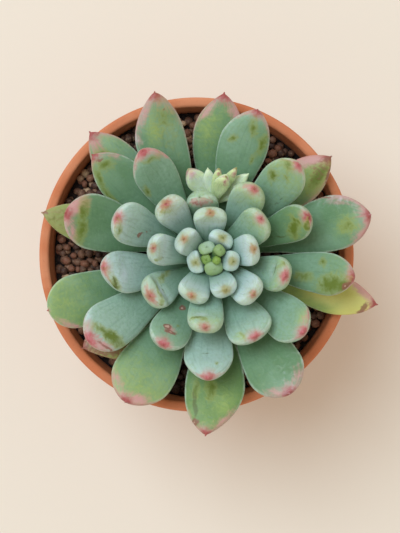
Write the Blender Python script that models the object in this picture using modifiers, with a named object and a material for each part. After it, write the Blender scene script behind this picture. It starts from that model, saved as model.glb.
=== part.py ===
"""Potted sedeveria: one rosette and its side shoot in a terracotta pot.

The scene is in metres, with +Z up. The sizes below are in millimetres, because that is how a
grower measures a plant, and MM turns them into metres where meshes are made. The origin is the
point of the ground under the middle of the whole object; the pot's axis lies a little beside it.
"""
import math
from dataclasses import dataclass, replace

import bmesh
import bpy
import numpy as np
from mathutils import Vector
from mathutils.geometry import delaunay_2d_cdt

MM = 0.001
GAP = 0.3

# Terracotta pot
POT_AXIS = (-3.7, 2.9)
POT_HEIGHT = 95.0
RIM_RADIUS = 55.0
RIM_INNER_RADIUS = 51.5
RIM_BAND = 22.0
RIM_ROUNDING = 1.2
BAND_TAPER = 0.9
BAND_LIP = 0.8
BODY_TOP_RADIUS = 50.6
BASE_RADIUS = 38.0
BASE_ROUNDING = 1.2
WALL = 3.6
RIM_WALL_HEIGHT = 14.0
RIM_INNER_TAPER = 1.1
FLOOR_THICKNESS = 7.0
INNER_FLOOR_RADIUS = 33.0
INNER_FLOOR_ROUNDING = 2.0
FOOT_RING_WIDTH = 7.0
FOOT_RECESS = 1.0
DRAIN_RADIUS = 5.5
POT_STEPS = 48

# Soil and its clay granules, drawn larger than life
SOIL_BELOW_RIM = 9.0
GRANULE_PITCH = 4.3
GRANULE_RISE = 1.5
GRANULE_SHAKE = 0.22
GRANULE_SEED = 7
ROW_SPACING = math.sqrt(3.0) / 2.0

# Main stem, which stands in a plain hole in the soil
STEM_FROM_POT_AXIS = (4.8, -1.2)
STEM_RADIUS = 4.6
STEM_FOOT_RADIUS = 6.0
STEM_TOP_RADIUS = 3.0
STEM_DEPTH_IN_SOIL = 22.0
STEM_SIDES = 16

# The spiral of leaves: number 0 is the youngest, in the heart; heights are from the rim
LEAF_COUNT = 57
HEART_LEAVES = 17
FULL_AGE = 50.0
FIRST_AZIMUTH = 312.0
DIVERGENCE = 138.0
TOP_LEAF_HEIGHT = 24.0
LEAF_ZONE = 28.0
LEAF_ZONE_END = 62.0
LONGEST_REACH = 58.0
YOUNGEST_STANDS_AT = 78.0
OLDEST_LIES_AT = 10.0
NECK_WIDTH = 3.2
NECK_HEIGHT = 2.2
UPPER_SHARE = 0.34
SWEEP_POWER = 5

# How finely a leaf is lofted: stations from its foot to just before its tip, and sides
LEAF_STATIONS = (0.0, 0.12, 0.28, 0.46, 0.63, 0.78, 0.90, 0.97)
LEAF_SIDES = 10
YOUNG_STATIONS = (0.0, 0.25, 0.50, 0.72, 0.88, 0.97)
YOUNG_SIDES = 8

# Side shoot, from the axil of an old leaf: its head from the main stem's axis at the rim, and
# its stem as azimuth, radius and height from the same point
SHOOT_HEAD = (0.8, 18.9, 13.5)
SHOOT_STEM_RADIUS = 0.8
SHOOT_STEM = (
    (99.0, 5.6, 8.0),
    (98.0, 8.0, 8.8),
    (95.0, 12.0, 10.2),
    (91.0, 16.0, 12.0),
    (88.0, 19.5, 14.4),
)
SHOOT_CURL = 20.0
SHOOT_POINTED = 0.9


@dataclass(frozen=True)
class Leaf:
    """One leaf, in millimetres and degrees, seen from the axis that it grows from."""

    azimuth: float
    reach: float
    width: float
    thickness: float
    elevation: float
    curl: float
    base_radius: float
    base_height: float
    neck_width: float
    neck_height: float
    pointed: float = 0.0
    sweep: float = 0.0


@dataclass(frozen=True)
class Habit:
    """How one leaf differs from the rule: turn and lift in degrees, sizes in millimetres.

    sweep is how far its tip is drawn aside, anticlockwise, and sharper is added to its share of
    a pointed end.
    """

    turn: float = 0.0
    longer: float = 0.0
    wider: float = 0.0
    thicker: float = 0.0
    lift: float = 0.0
    sweep: float = 0.0
    sharper: float = 0.0


@dataclass(frozen=True)
class ShootLeaf:
    """One leaf of the side shoot, in degrees and millimetres, seen from the shoot's head."""

    azimuth: float
    reach: float
    width: float
    thickness: float
    elevation: float
    foot: float


# Old leaves that have dropped off
DROPPED = (39, 41, 44, 45, 47, 50, 51, 54, 55)

HABITS = {
    0: Habit(turn=20, longer=1.0, thicker=0.4),
    1: Habit(turn=28, longer=-1.0, thicker=0.8),
    2: Habit(turn=3, wider=-0.3, thicker=0.3),
    3: Habit(turn=28, longer=-1.5, wider=1.5, thicker=1.4),
    4: Habit(turn=-8, longer=-3.0, wider=0.4, thicker=0.6),
    5: Habit(turn=8, longer=-1.0, wider=1.1, thicker=0.8),
    6: Habit(turn=-6, longer=-4.4, wider=1.6, thicker=1.2),
    7: Habit(turn=-6, longer=-3.5, wider=2.0, thicker=0.5),
    8: Habit(turn=6, longer=-0.8, wider=2.0, thicker=0.6),
    9: Habit(turn=-4, longer=-3.0, wider=2.0, thicker=0.4),
    10: Habit(turn=-1, longer=-1.0, wider=3.0),
    11: Habit(turn=9, longer=-2.5, wider=2.5),
    12: Habit(turn=-5, longer=-3.3, wider=2.5),
    13: Habit(turn=1, longer=-1.0, wider=2.0),
    14: Habit(turn=-9, longer=-1.5, wider=1.0),
    15: Habit(turn=-7.2, longer=-1.5, wider=2.4, sweep=1.2),
    16: Habit(turn=1, longer=-0.5, wider=2.0),
    17: Habit(turn=4, longer=-1.8, wider=0.5),
    18: Habit(turn=-2, longer=-1.0, wider=1.0),
    19: Habit(turn=2, longer=-3.8, wider=1.0),
    20: Habit(turn=-14, longer=-2.3, wider=0.2, sharper=0.6),
    21: Habit(turn=5, longer=-0.5, wider=4.0),
    22: Habit(turn=1, longer=1.7, wider=2.0),
    23: Habit(turn=4.5, longer=1.5, wider=-0.5, lift=-1),
    24: Habit(turn=1, longer=-1.7, wider=1.0),
    25: Habit(turn=-4, longer=-15.3, wider=-2.6, lift=9, sweep=1.0),
    26: Habit(turn=-3, longer=2.0, wider=2.0),
    27: Habit(turn=5, longer=-3.0, wider=0.5, sweep=-3.6),
    28: Habit(turn=-1.2, longer=2.0, wider=0.5),
    29: Habit(turn=-1.2, longer=-1.3, wider=2.0),
    30: Habit(turn=-8.2, longer=-0.7, wider=-0.8, sweep=-0.8),
    31: Habit(turn=-2, longer=3.5, wider=-1.0),
    32: Habit(turn=-2, longer=3.5, wider=1.5),
    33: Habit(turn=-3.8, longer=5.2, wider=1.0, lift=-8, sweep=-1.7),
    34: Habit(longer=4.0, wider=3.5),
    35: Habit(turn=1, longer=1.0, wider=2.5),
    36: Habit(turn=-8, longer=4.0, wider=2.0, sweep=-1.0),
    37: Habit(turn=-5.4, longer=3.6, wider=4.0, sweep=-1.2),
    38: Habit(turn=6.2, longer=4.9, lift=-5, sweep=-5.8),
    40: Habit(turn=6, longer=1.0),
    42: Habit(turn=-3, longer=2.0, wider=2.5, sweep=-5.0),
    43: Habit(turn=1, longer=-4.5, wider=-2.5),
    46: Habit(turn=3, longer=-1.0, wider=-1.0, lift=-3, sweep=-1.8),
    48: Habit(turn=-3, longer=2.0, wider=-5.0),
    49: Habit(turn=10, longer=-3.5, wider=-3.5),
    52: Habit(turn=7.2, longer=1.9, wider=-4.5, sweep=1.2),
    53: Habit(turn=28, longer=-4.5, wider=1.5, sweep=-10.5),
    56: Habit(turn=-9, longer=2.5, wider=-2.5, sweep=-1.3),
}

SHOOT_LEAVES = (
    ShootLeaf(azimuth=62, reach=9.2, width=5.8, thickness=3.6, elevation=55, foot=1.5),
    ShootLeaf(azimuth=80, reach=11.2, width=3.6, thickness=2.6, elevation=42, foot=1.0),
    ShootLeaf(azimuth=99, reach=11.6, width=4.4, thickness=2.8, elevation=28, foot=0.0),
    ShootLeaf(azimuth=127, reach=14.0, width=7.6, thickness=4.2, elevation=28, foot=-0.5),
    ShootLeaf(azimuth=55, reach=13.8, width=4.0, thickness=2.8, elevation=36, foot=0.0),
    ShootLeaf(azimuth=38, reach=15.5, width=5.0, thickness=3.0, elevation=22, foot=-1.0),
    ShootLeaf(azimuth=24, reach=13.0, width=4.6, thickness=2.8, elevation=30, foot=-0.5),
)


def smooth(value):
    """Ease a value from 0 to 1 with no corner at its ends."""
    value = min(max(value, 0.0), 1.0)
    return value * value * (3.0 - 2.0 * value)


def growth(number):
    """The rule of the spiral: a leaf's sizes from its number, youngest first."""
    age = min(number / FULL_AGE, 1.0)
    climb = (1.0 - number / LEAF_ZONE_END) ** 1.2
    thickening = min(number / 18.0, 1.0) ** 0.7
    thinning = smooth((number - 30.0) / 26.0)
    return Leaf(
        azimuth=(FIRST_AZIMUTH - DIVERGENCE * number) % 360.0,
        reach=min(1.5 + 1.38 * number, LONGEST_REACH),
        width=3.0 + 16.0 * min(age / 0.8, 1.0) ** 0.8,
        thickness=2.4 + 4.4 * thickening - 1.6 * thinning,
        elevation=YOUNGEST_STANDS_AT - (YOUNGEST_STANDS_AT - OLDEST_LIES_AT) * age ** 0.72,
        curl=10.0 + 32.0 * math.sin(math.pi * min(age * 1.1, 1.0)),
        base_radius=STEM_RADIUS + GAP,
        base_height=TOP_LEAF_HEIGHT - LEAF_ZONE * (1.0 - climb),
        neck_width=NECK_WIDTH,
        neck_height=NECK_HEIGHT,
        pointed=smooth((number - 18.0) / 18.0),
    )


def rosette_leaves():
    """Number and sizes of every leaf of the main rosette, youngest first."""
    leaves = []
    for number in range(LEAF_COUNT):
        if number in DROPPED:
            continue
        leaf = growth(number)
        habit = HABITS.get(number, Habit())
        leaf = replace(leaf, azimuth=(leaf.azimuth + habit.turn) % 360.0,
                       reach=leaf.reach + habit.longer, width=leaf.width + habit.wider,
                       thickness=leaf.thickness + habit.thicker,
                       elevation=leaf.elevation + habit.lift,
                       pointed=leaf.pointed + habit.sharper, sweep=habit.sweep)
        if number < HEART_LEAVES:
            leaf = replace(leaf, base_radius=0.6 + 2.4 * number / HEART_LEAVES,
                           neck_width=0.55 * leaf.width, neck_height=0.6 * leaf.thickness)
        leaves.append((number, leaf))
    return leaves


def shoot_leaves():
    """Sizes of the side shoot's leaves, seen from its head."""
    return [Leaf(azimuth=leaf.azimuth, reach=leaf.reach, width=leaf.width,
                 thickness=leaf.thickness, elevation=leaf.elevation, curl=SHOOT_CURL,
                 base_radius=GAP, base_height=leaf.foot, neck_width=0.5 * leaf.width,
                 neck_height=0.6 * leaf.thickness, pointed=SHOOT_POINTED)
            for leaf in SHOOT_LEAVES]


def spine(leaf, stations):
    """Radius, height and slope of the leaf's middle line at the given stations."""
    marks = np.linspace(0.0, 1.0, 61)
    slopes = np.radians(leaf.elevation + leaf.curl * (marks ** 1.3 - 0.47))
    middles = 0.5 * (slopes[1:] + slopes[:-1])
    step = marks[1]
    run = np.concatenate([[0.0], np.cumsum(np.cos(middles))]) * step
    rise = np.concatenate([[0.0], np.cumsum(np.sin(middles))]) * step
    length = (leaf.reach - leaf.base_radius) / run[-1]
    radius = leaf.base_radius + length * np.interp(stations, marks, run)
    height = leaf.base_height + length * np.interp(stations, marks, rise)
    return radius, height, np.interp(stations, marks, slopes)


def share_at(station, widest, neck, closing):
    """Share of the full width or thickness: a neck, then a club that closes in a round end."""
    if station <= widest:
        return neck + (1.0 - neck) * smooth(station / widest)
    past = (station - widest) / (1.0 - widest)
    return max(1.0 - past * past, 0.0) ** closing


def leaf_rings(leaf, stations, sides):
    """Rings of points round the leaf, and its tip, in millimetres from the axis's foot."""
    radius, height, slope = spine(leaf, list(stations) + [1.0])
    around = math.radians(leaf.azimuth)
    outward = np.array([math.cos(around), math.sin(around), 0.0])
    across = np.array([-math.sin(around), math.cos(around), 0.0])
    upward = np.array([0.0, 0.0, 1.0])
    rings = []
    for index, station in enumerate(stations):
        half_width = 0.5 * leaf.width * share_at(station, 0.80 - 0.09 * leaf.pointed,
                                                 leaf.neck_width / leaf.width,
                                                 0.48 + 0.17 * leaf.pointed)
        depth = leaf.thickness * share_at(station, 0.82, leaf.neck_height / leaf.thickness, 0.45)
        lean = slope[index] * smooth(station / 0.15)
        face = -math.sin(lean) * outward + math.cos(lean) * upward
        aside = leaf.sweep * station ** SWEEP_POWER
        centre = radius[index] * outward + height[index] * upward + aside * across
        ring = []
        for corner in range(sides):
            turn = 2.0 * math.pi * (corner + 0.5) / sides
            share = UPPER_SHARE if math.sin(turn) > 0.0 else 1.0 - UPPER_SHARE
            ring.append(centre + half_width * math.cos(turn) * across
                        + share * depth * math.sin(turn) * face)
        rings.append(ring)
    return rings, radius[-1] * outward + height[-1] * upward + leaf.sweep * across


def loft_leaf(leaf, stations, sides):
    """A closed bmesh of one leaf, in metres from the axis's foot."""
    rings, tip = leaf_rings(leaf, stations, sides)
    mesh = bmesh.new()
    loops = [[mesh.verts.new(Vector(point) * MM) for point in ring] for ring in rings]
    mesh.faces.new(list(reversed(loops[0])))
    for lower, upper in zip(loops, loops[1:]):
        for corner in range(sides):
            following = (corner + 1) % sides
            mesh.faces.new((lower[corner], lower[following], upper[following], upper[corner]))
    point = mesh.verts.new(Vector(tip) * MM)
    for corner in range(sides):
        mesh.faces.new((loops[-1][corner], loops[-1][(corner + 1) % sides], point))
    return mesh


def material(name, colour, roughness):
    """A Principled material of one colour."""
    made = bpy.data.materials.new(name)
    made.use_nodes = True
    shader = made.node_tree.nodes["Principled BSDF"]
    shader.inputs["Base Color"].default_value = (*colour, 1.0)
    shader.inputs["Roughness"].default_value = roughness
    shader.inputs["Metallic"].default_value = 0.0
    return made


def linked_collection(name):
    """A new collection in the scene."""
    made = bpy.data.collections.new(name)
    bpy.context.scene.collection.children.link(made)
    return made


def smooth_object(name, mesh, collection, finish, parent=None):
    """Turn a bmesh into a smooth-shaded object of the collection."""
    bmesh.ops.recalc_face_normals(mesh, faces=mesh.faces)
    data = bpy.data.meshes.new(name)
    mesh.to_mesh(data)
    mesh.free()
    made = bpy.data.objects.new(name, data)
    collection.objects.link(made)
    data.materials.append(finish)
    data.shade_smooth()
    data.set_sharp_from_angle(angle=math.radians(40.0))
    made.parent = parent
    return made


def turned_object(name, profile, steps, collection, finish):
    """A turned piece: a profile of (radius, height) that runs down its outer side.

    A profile that starts on the axis is left open, and any other is closed.
    """
    data = bpy.data.meshes.new(name)
    edges = len(profile) if profile[0][0] > 0.0 else len(profile) - 1
    data.from_pydata([(radius * MM, 0.0, height * MM) for radius, height in profile],
                     [(point, (point + 1) % len(profile)) for point in range(edges)], [])
    made = bpy.data.objects.new(name, data)
    collection.objects.link(made)
    data.materials.append(finish)
    screw = made.modifiers.new("turned", "SCREW")
    screw.steps = steps
    screw.render_steps = steps
    screw.use_merge_vertices = True
    screw.merge_threshold = 0.00001
    screw.use_smooth_shade = True
    return made


def outer_wall():
    """Outside of the pot, from the top of the rim to the edge of the drain hole."""
    band_bottom = POT_HEIGHT - RIM_BAND
    foot_inner = BASE_RADIUS - FOOT_RING_WIDTH
    return [
        (RIM_RADIUS - RIM_ROUNDING, POT_HEIGHT),
        (RIM_RADIUS, POT_HEIGHT - RIM_ROUNDING),
        (RIM_RADIUS - BAND_TAPER, band_bottom + BAND_LIP),
        (RIM_RADIUS - BAND_TAPER - BAND_LIP, band_bottom),
        (BODY_TOP_RADIUS, band_bottom),
        (BASE_RADIUS, BASE_ROUNDING),
        (BASE_RADIUS - BASE_ROUNDING, 0.0),
        (foot_inner, 0.0),
        (foot_inner - FOOT_RECESS, FOOT_RECESS),
        (DRAIN_RADIUS, FOOT_RECESS),
    ]


def inner_wall():
    """Inside of the pot, from the edge of its floor up to the rim."""
    return [
        (INNER_FLOOR_RADIUS, FLOOR_THICKNESS),
        (INNER_FLOOR_RADIUS + INNER_FLOOR_ROUNDING, FLOOR_THICKNESS + INNER_FLOOR_ROUNDING),
        (BODY_TOP_RADIUS - WALL, POT_HEIGHT - RIM_BAND),
        (RIM_INNER_RADIUS - RIM_INNER_TAPER, POT_HEIGHT - RIM_WALL_HEIGHT),
        (RIM_INNER_RADIUS, POT_HEIGHT - RIM_ROUNDING),
    ]


def build_pot(collection, finish):
    """The terracotta pot, with a rim band, a foot ring and a drain hole."""
    profile = outer_wall() + [(DRAIN_RADIUS, FLOOR_THICKNESS)] + inner_wall()
    profile.append((RIM_INNER_RADIUS + RIM_ROUNDING, POT_HEIGHT))
    pot = turned_object("pot", profile, POT_STEPS, collection, finish)
    pot.location = Vector((*POT_AXIS, 0.0)) * MM
    return pot


def ring_points(centre, radius, count):
    """Points round a circle, from its +X side."""
    turns = [2.0 * math.pi * index / count for index in range(count)]
    return [(centre[0] + radius * math.cos(turn), centre[1] + radius * math.sin(turn))
            for turn in turns]


def granule_field(hole_radius, edge_radius):
    """Tops of the granules, and the hollows between them, on a shaken triangular grid."""
    shake = np.random.default_rng(GRANULE_SEED)
    spread = GRANULE_PITCH * GRANULE_SHAKE
    rows = int(2.0 * edge_radius / (GRANULE_PITCH * ROW_SPACING)) + 2
    tops = {}
    for row in range(-rows, rows + 1):
        for column in range(-rows, rows + 1):
            aside, along, lift = shake.uniform(-1.0, 1.0, 3)
            tops[(column, row)] = (
                GRANULE_PITCH * (column + 0.5 * row) + spread * aside,
                GRANULE_PITCH * ROW_SPACING * row + spread * along,
                GRANULE_RISE * (0.75 + 0.25 * lift),
            )
    field = []
    for (column, row), top in tops.items():
        field.append(top)
        for step in ((0, 1), (1, -1)):
            corners = [top, tops.get((column + 1, row)),
                       tops.get((column + step[0], row + step[1]))]
            if None not in corners:
                x = sum(corner[0] for corner in corners) / 3.0
                y = sum(corner[1] for corner in corners) / 3.0
                field.append((x, y, -0.6 * GRANULE_RISE))
    margin = 0.35 * GRANULE_PITCH
    return [point for point in field
            if math.hypot(point[0], point[1]) < edge_radius - margin
            and math.dist(point[:2], STEM_FROM_POT_AXIS) > hole_radius + margin]


def wall_of_rings(mesh, rings):
    """Faces between rings of equal count, each one below the last."""
    count = len(rings[0])
    for upper, lower in zip(rings, rings[1:]):
        for index in range(count):
            following = (index + 1) % count
            mesh.faces.new((upper[index], upper[following], lower[following], lower[index]))


def build_soil(collection, finish):
    """Soil that fills the pot, its top a relief of granules, with a plain hole for the stem."""
    top = POT_HEIGHT - SOIL_BELOW_RIM
    hole_radius = STEM_FOOT_RADIUS + GAP
    wall = inner_wall()
    edge_radius = float(np.interp(top, [height for _, height in wall],
                                  [radius for radius, _ in wall])) - GAP
    field = granule_field(hole_radius, edge_radius)
    edge = ring_points((0.0, 0.0), edge_radius, POT_STEPS)
    mouth = ring_points(STEM_FROM_POT_AXIS, hole_radius, STEM_SIDES)
    first = len(edge)
    fences = [(index, (index + 1) % first) for index in range(first)]
    fences += [(first + index, first + (index + 1) % STEM_SIDES) for index in range(STEM_SIDES)]
    flat = [Vector(point) for point in edge + mouth] + [Vector(point[:2]) for point in field]
    heights = [top] * (len(edge) + len(mouth)) + [top + point[2] for point in field]
    triangles = delaunay_2d_cdt(flat, fences, [], 0, 1e-6)[2]

    mesh = bmesh.new()
    points = [mesh.verts.new((place.x * MM, place.y * MM, height * MM))
              for place, height in zip(flat, heights)]
    mouth_numbers = set(range(first, first + STEM_SIDES))
    for triangle in triangles:
        if not set(triangle) <= mouth_numbers:
            mesh.faces.new([points[number] for number in triangle])
    sides = [points[:first]]
    for radius, height in reversed(wall[:-1]):
        sides.append([mesh.verts.new((x * MM, y * MM, (height + GAP) * MM))
                      for x, y in ring_points((0.0, 0.0), radius - GAP, POT_STEPS)])
    wall_of_rings(mesh, sides)
    mesh.faces.new(sides[-1])
    depth = top - STEM_DEPTH_IN_SOIL - GAP
    bottom = [mesh.verts.new((x * MM, y * MM, depth * MM))
              for x, y in ring_points(STEM_FROM_POT_AXIS, hole_radius, STEM_SIDES)]
    wall_of_rings(mesh, [points[first:first + STEM_SIDES], bottom])
    mesh.faces.new(bottom)
    soil = smooth_object("soil", mesh, collection, finish)
    soil.location = Vector((*POT_AXIS, 0.0)) * MM
    return soil


def stem_profile():
    """Main stem from its tip down to its foot in the soil, heights from the rim."""
    foot = -SOIL_BELOW_RIM - STEM_DEPTH_IN_SOIL
    return [
        (0.0, TOP_LEAF_HEIGHT + 0.5),
        (0.6 * STEM_TOP_RADIUS, TOP_LEAF_HEIGHT - 0.6),
        (STEM_TOP_RADIUS, TOP_LEAF_HEIGHT - 3.5),
        (STEM_RADIUS, TOP_LEAF_HEIGHT - 8.5),
        (STEM_RADIUS, -5.0),
        (STEM_FOOT_RADIUS, -SOIL_BELOW_RIM + 1.0),
        (STEM_FOOT_RADIUS, foot + 2.0),
        (STEM_FOOT_RADIUS - 2.0, foot),
        (0.0, foot),
    ]


def fuse(body, grown):
    """Join what has grown on a body to it as one closed solid, and remove the loose pieces."""
    joined = body.modifiers.new("grown together", "BOOLEAN")
    joined.operation = "UNION"
    joined.operand_type = "COLLECTION"
    joined.collection = grown
    bpy.context.view_layer.update()
    depsgraph = bpy.context.evaluated_depsgraph_get()
    solid = bpy.data.meshes.new_from_object(body.evaluated_get(depsgraph))
    body.modifiers.clear()
    body.data = solid
    for piece in list(grown.objects):
        bpy.data.objects.remove(piece)
    bpy.data.collections.remove(grown)
    return body


def build_shoot(collection, foot, finish):
    """The side shoot: a thin stem from a leaf's axil, and its own young leaves."""
    data = bpy.data.curves.new("side_shoot_line", "CURVE")
    data.dimensions = "3D"
    data.bevel_depth = SHOOT_STEM_RADIUS * MM
    data.bevel_resolution = 1
    data.use_fill_caps = True
    line = data.splines.new("POLY")
    line.points.add(len(SHOOT_STEM) - 1)
    for point, (azimuth, radius, height) in zip(line.points, SHOOT_STEM):
        around = math.radians(azimuth)
        place = Vector((radius * math.cos(around), radius * math.sin(around), height)) * MM
        point.co = (*place, 1.0)
    curve = bpy.data.objects.new("side_shoot_line", data)
    collection.objects.link(curve)
    bpy.context.view_layer.update()
    depsgraph = bpy.context.evaluated_depsgraph_get()
    mesh = bmesh.new()
    mesh.from_mesh(bpy.data.meshes.new_from_object(curve.evaluated_get(depsgraph)))
    bpy.data.objects.remove(curve)
    bmesh.ops.remove_doubles(mesh, verts=mesh.verts, dist=0.00001)
    shoot = smooth_object("side_shoot", mesh, collection, finish, foot)
    grown = linked_collection("side_shoot_leaves")
    for number, leaf in enumerate(shoot_leaves()):
        young = loft_leaf(leaf, YOUNG_STATIONS, YOUNG_SIDES)
        made = smooth_object(f"side_shoot_leaf_{number}", young, grown, finish, foot)
        made.location = Vector(SHOOT_HEAD) * MM
    return fuse(shoot, grown)


def main():
    """Build every piece of the potted plant."""
    for old in list(bpy.data.objects):
        bpy.data.objects.remove(old)
    parts = linked_collection("potted_sedeveria")
    clay = material("terracotta", (0.58, 0.19, 0.085), 0.85)
    earth = material("clay_granules", (0.13, 0.06, 0.04), 0.95)
    grown_green = material("grown_leaf", (0.24, 0.42, 0.27), 0.5)
    young_green = material("young_leaf", (0.38, 0.52, 0.36), 0.5)

    build_pot(parts, clay)
    build_soil(parts, earth)

    foot = bpy.data.objects.new("rosette_axis_at_rim", None)
    parts.objects.link(foot)
    foot.location = Vector((POT_AXIS[0] + STEM_FROM_POT_AXIS[0],
                            POT_AXIS[1] + STEM_FROM_POT_AXIS[1], POT_HEIGHT)) * MM
    stem = turned_object("main_stem_and_heart", stem_profile(), STEM_SIDES, parts, young_green)
    stem.parent = foot
    heart = linked_collection("heart_leaves")
    for number, leaf in rosette_leaves():
        if number < HEART_LEAVES:
            mesh = loft_leaf(leaf, YOUNG_STATIONS, YOUNG_SIDES)
            smooth_object(f"heart_leaf_{number:02d}", mesh, heart, young_green, foot)
        else:
            mesh = loft_leaf(leaf, LEAF_STATIONS, LEAF_SIDES)
            smooth_object(f"leaf_{number:02d}", mesh, parts, grown_green, foot)
    fuse(stem, heart)
    build_shoot(parts, foot, young_green)


main()
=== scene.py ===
"""Looks of a potted sedeveria: a rosette of thick, red-tipped leaves in a terracotta pot.

Every piece stands where its solid stands in the frame. Sizes are in millimetres and angles in
degrees, and MM turns them into metres where meshes are made. ON_AXIS is the radius of the ends
of a turned outline, so that they close without points that fall together.
"""
import logging
import math
from dataclasses import dataclass, field, replace
from enum import Enum
from functools import cache
from typing import Any, Iterable, Optional, Sequence, Union

import bmesh
import bpy
import numpy as np
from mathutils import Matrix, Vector, noise


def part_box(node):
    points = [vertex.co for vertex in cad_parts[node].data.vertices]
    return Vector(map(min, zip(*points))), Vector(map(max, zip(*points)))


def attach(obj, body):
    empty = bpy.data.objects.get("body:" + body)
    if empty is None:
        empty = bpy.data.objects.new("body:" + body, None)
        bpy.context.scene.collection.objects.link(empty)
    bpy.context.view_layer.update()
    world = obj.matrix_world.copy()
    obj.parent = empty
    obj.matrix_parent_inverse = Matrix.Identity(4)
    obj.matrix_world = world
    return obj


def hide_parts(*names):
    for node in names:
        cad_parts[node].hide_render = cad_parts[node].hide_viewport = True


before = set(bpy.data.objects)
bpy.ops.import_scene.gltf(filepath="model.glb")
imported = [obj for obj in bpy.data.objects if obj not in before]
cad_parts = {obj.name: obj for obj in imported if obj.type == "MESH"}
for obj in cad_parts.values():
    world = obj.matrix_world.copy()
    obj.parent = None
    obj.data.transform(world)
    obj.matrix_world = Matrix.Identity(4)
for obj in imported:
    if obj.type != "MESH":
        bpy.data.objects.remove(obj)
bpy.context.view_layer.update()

MM = 0.001
ON_AXIS = 0.01
LOG = logging.getLogger("potted_sedeveria")

Colour = tuple[float, float, float]
Span = tuple[float, float]
Outline = list[tuple[float, float]]
Operand = Union["Value", float]


def smooth(value: Any) -> Any:
    """Ease a value, or an array of them, from 0 to 1 with no corner at its ends."""
    value = np.clip(value, 0.0, 1.0)
    return value * value * (3.0 - 2.0 * value)


def swell(stations: np.ndarray, place: float, spread: float) -> np.ndarray:
    """A soft rise to 1 round one place along a leaf."""
    return np.exp(-((stations - place) / spread) ** 2)


def linear(channel: int) -> float:
    """One channel of a screen colour, from 0 to 255, as linear light."""
    share = channel / 255.0
    return share / 12.92 if share <= 0.04045 else ((share + 0.055) / 1.055) ** 2.4


def srgb(red: int, green: int, blue: int) -> Colour:
    """Linear colour of a screen colour whose channels go from 0 to 255."""
    return linear(red), linear(green), linear(blue)


class Value:
    """A number socket of a shader that takes part in plain arithmetic."""

    def __init__(self, graph: "Graph", socket: bpy.types.NodeSocket) -> None:
        """Hold the socket and the graph that it belongs to."""
        self.graph = graph
        self.socket = socket

    def _math(self, operation: str, first: Operand, second: Operand) -> "Value":
        """Add one Math node.

        Args:
            operation: The node's operation.
            first: Its first value.
            second: Its second value.

        Returns:
            The node's result.
        """
        node = self.graph.add("ShaderNodeMath", {"operation": operation}, {0: first, 1: second})
        return Value(self.graph, node.outputs[0])

    def __add__(self, other: Operand) -> "Value":
        """Sum."""
        return self._math("ADD", self, other)

    def __radd__(self, other: float) -> "Value":
        """Sum, reflected."""
        return self._math("ADD", other, self)

    def __sub__(self, other: Operand) -> "Value":
        """Difference."""
        return self._math("SUBTRACT", self, other)

    def __rsub__(self, other: float) -> "Value":
        """Difference, reflected."""
        return self._math("SUBTRACT", other, self)

    def __mul__(self, other: Operand) -> "Value":
        """Product."""
        return self._math("MULTIPLY", self, other)

    def __rmul__(self, other: float) -> "Value":
        """Product, reflected."""
        return self._math("MULTIPLY", other, self)

    def __abs__(self) -> "Value":
        """Size without sign."""
        return self._math("ABSOLUTE", self, 0.0)

    def swing(self, amount: float) -> "Value":
        """A noise from 0 to 1, turned into one that swings round 0 by this amount in all."""
        return (self - 0.5) * amount

    def between(self, low: float, high: float, start: float = 0.0, end: float = 1.0) -> "Value":
        """Ease from one value to another while this one goes from low to high.

        Args:
            low: Where the rise starts.
            high: Where it ends.
            start: The result up to low.
            end: The result from high on.

        Returns:
            The eased value.
        """
        node = self.graph.add("ShaderNodeMapRange", {"interpolation_type": "SMOOTHSTEP"},
                              {"Value": self, "From Min": low, "From Max": high,
                               "To Min": start, "To Max": end})
        return Value(self.graph, node.outputs["Result"])


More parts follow.
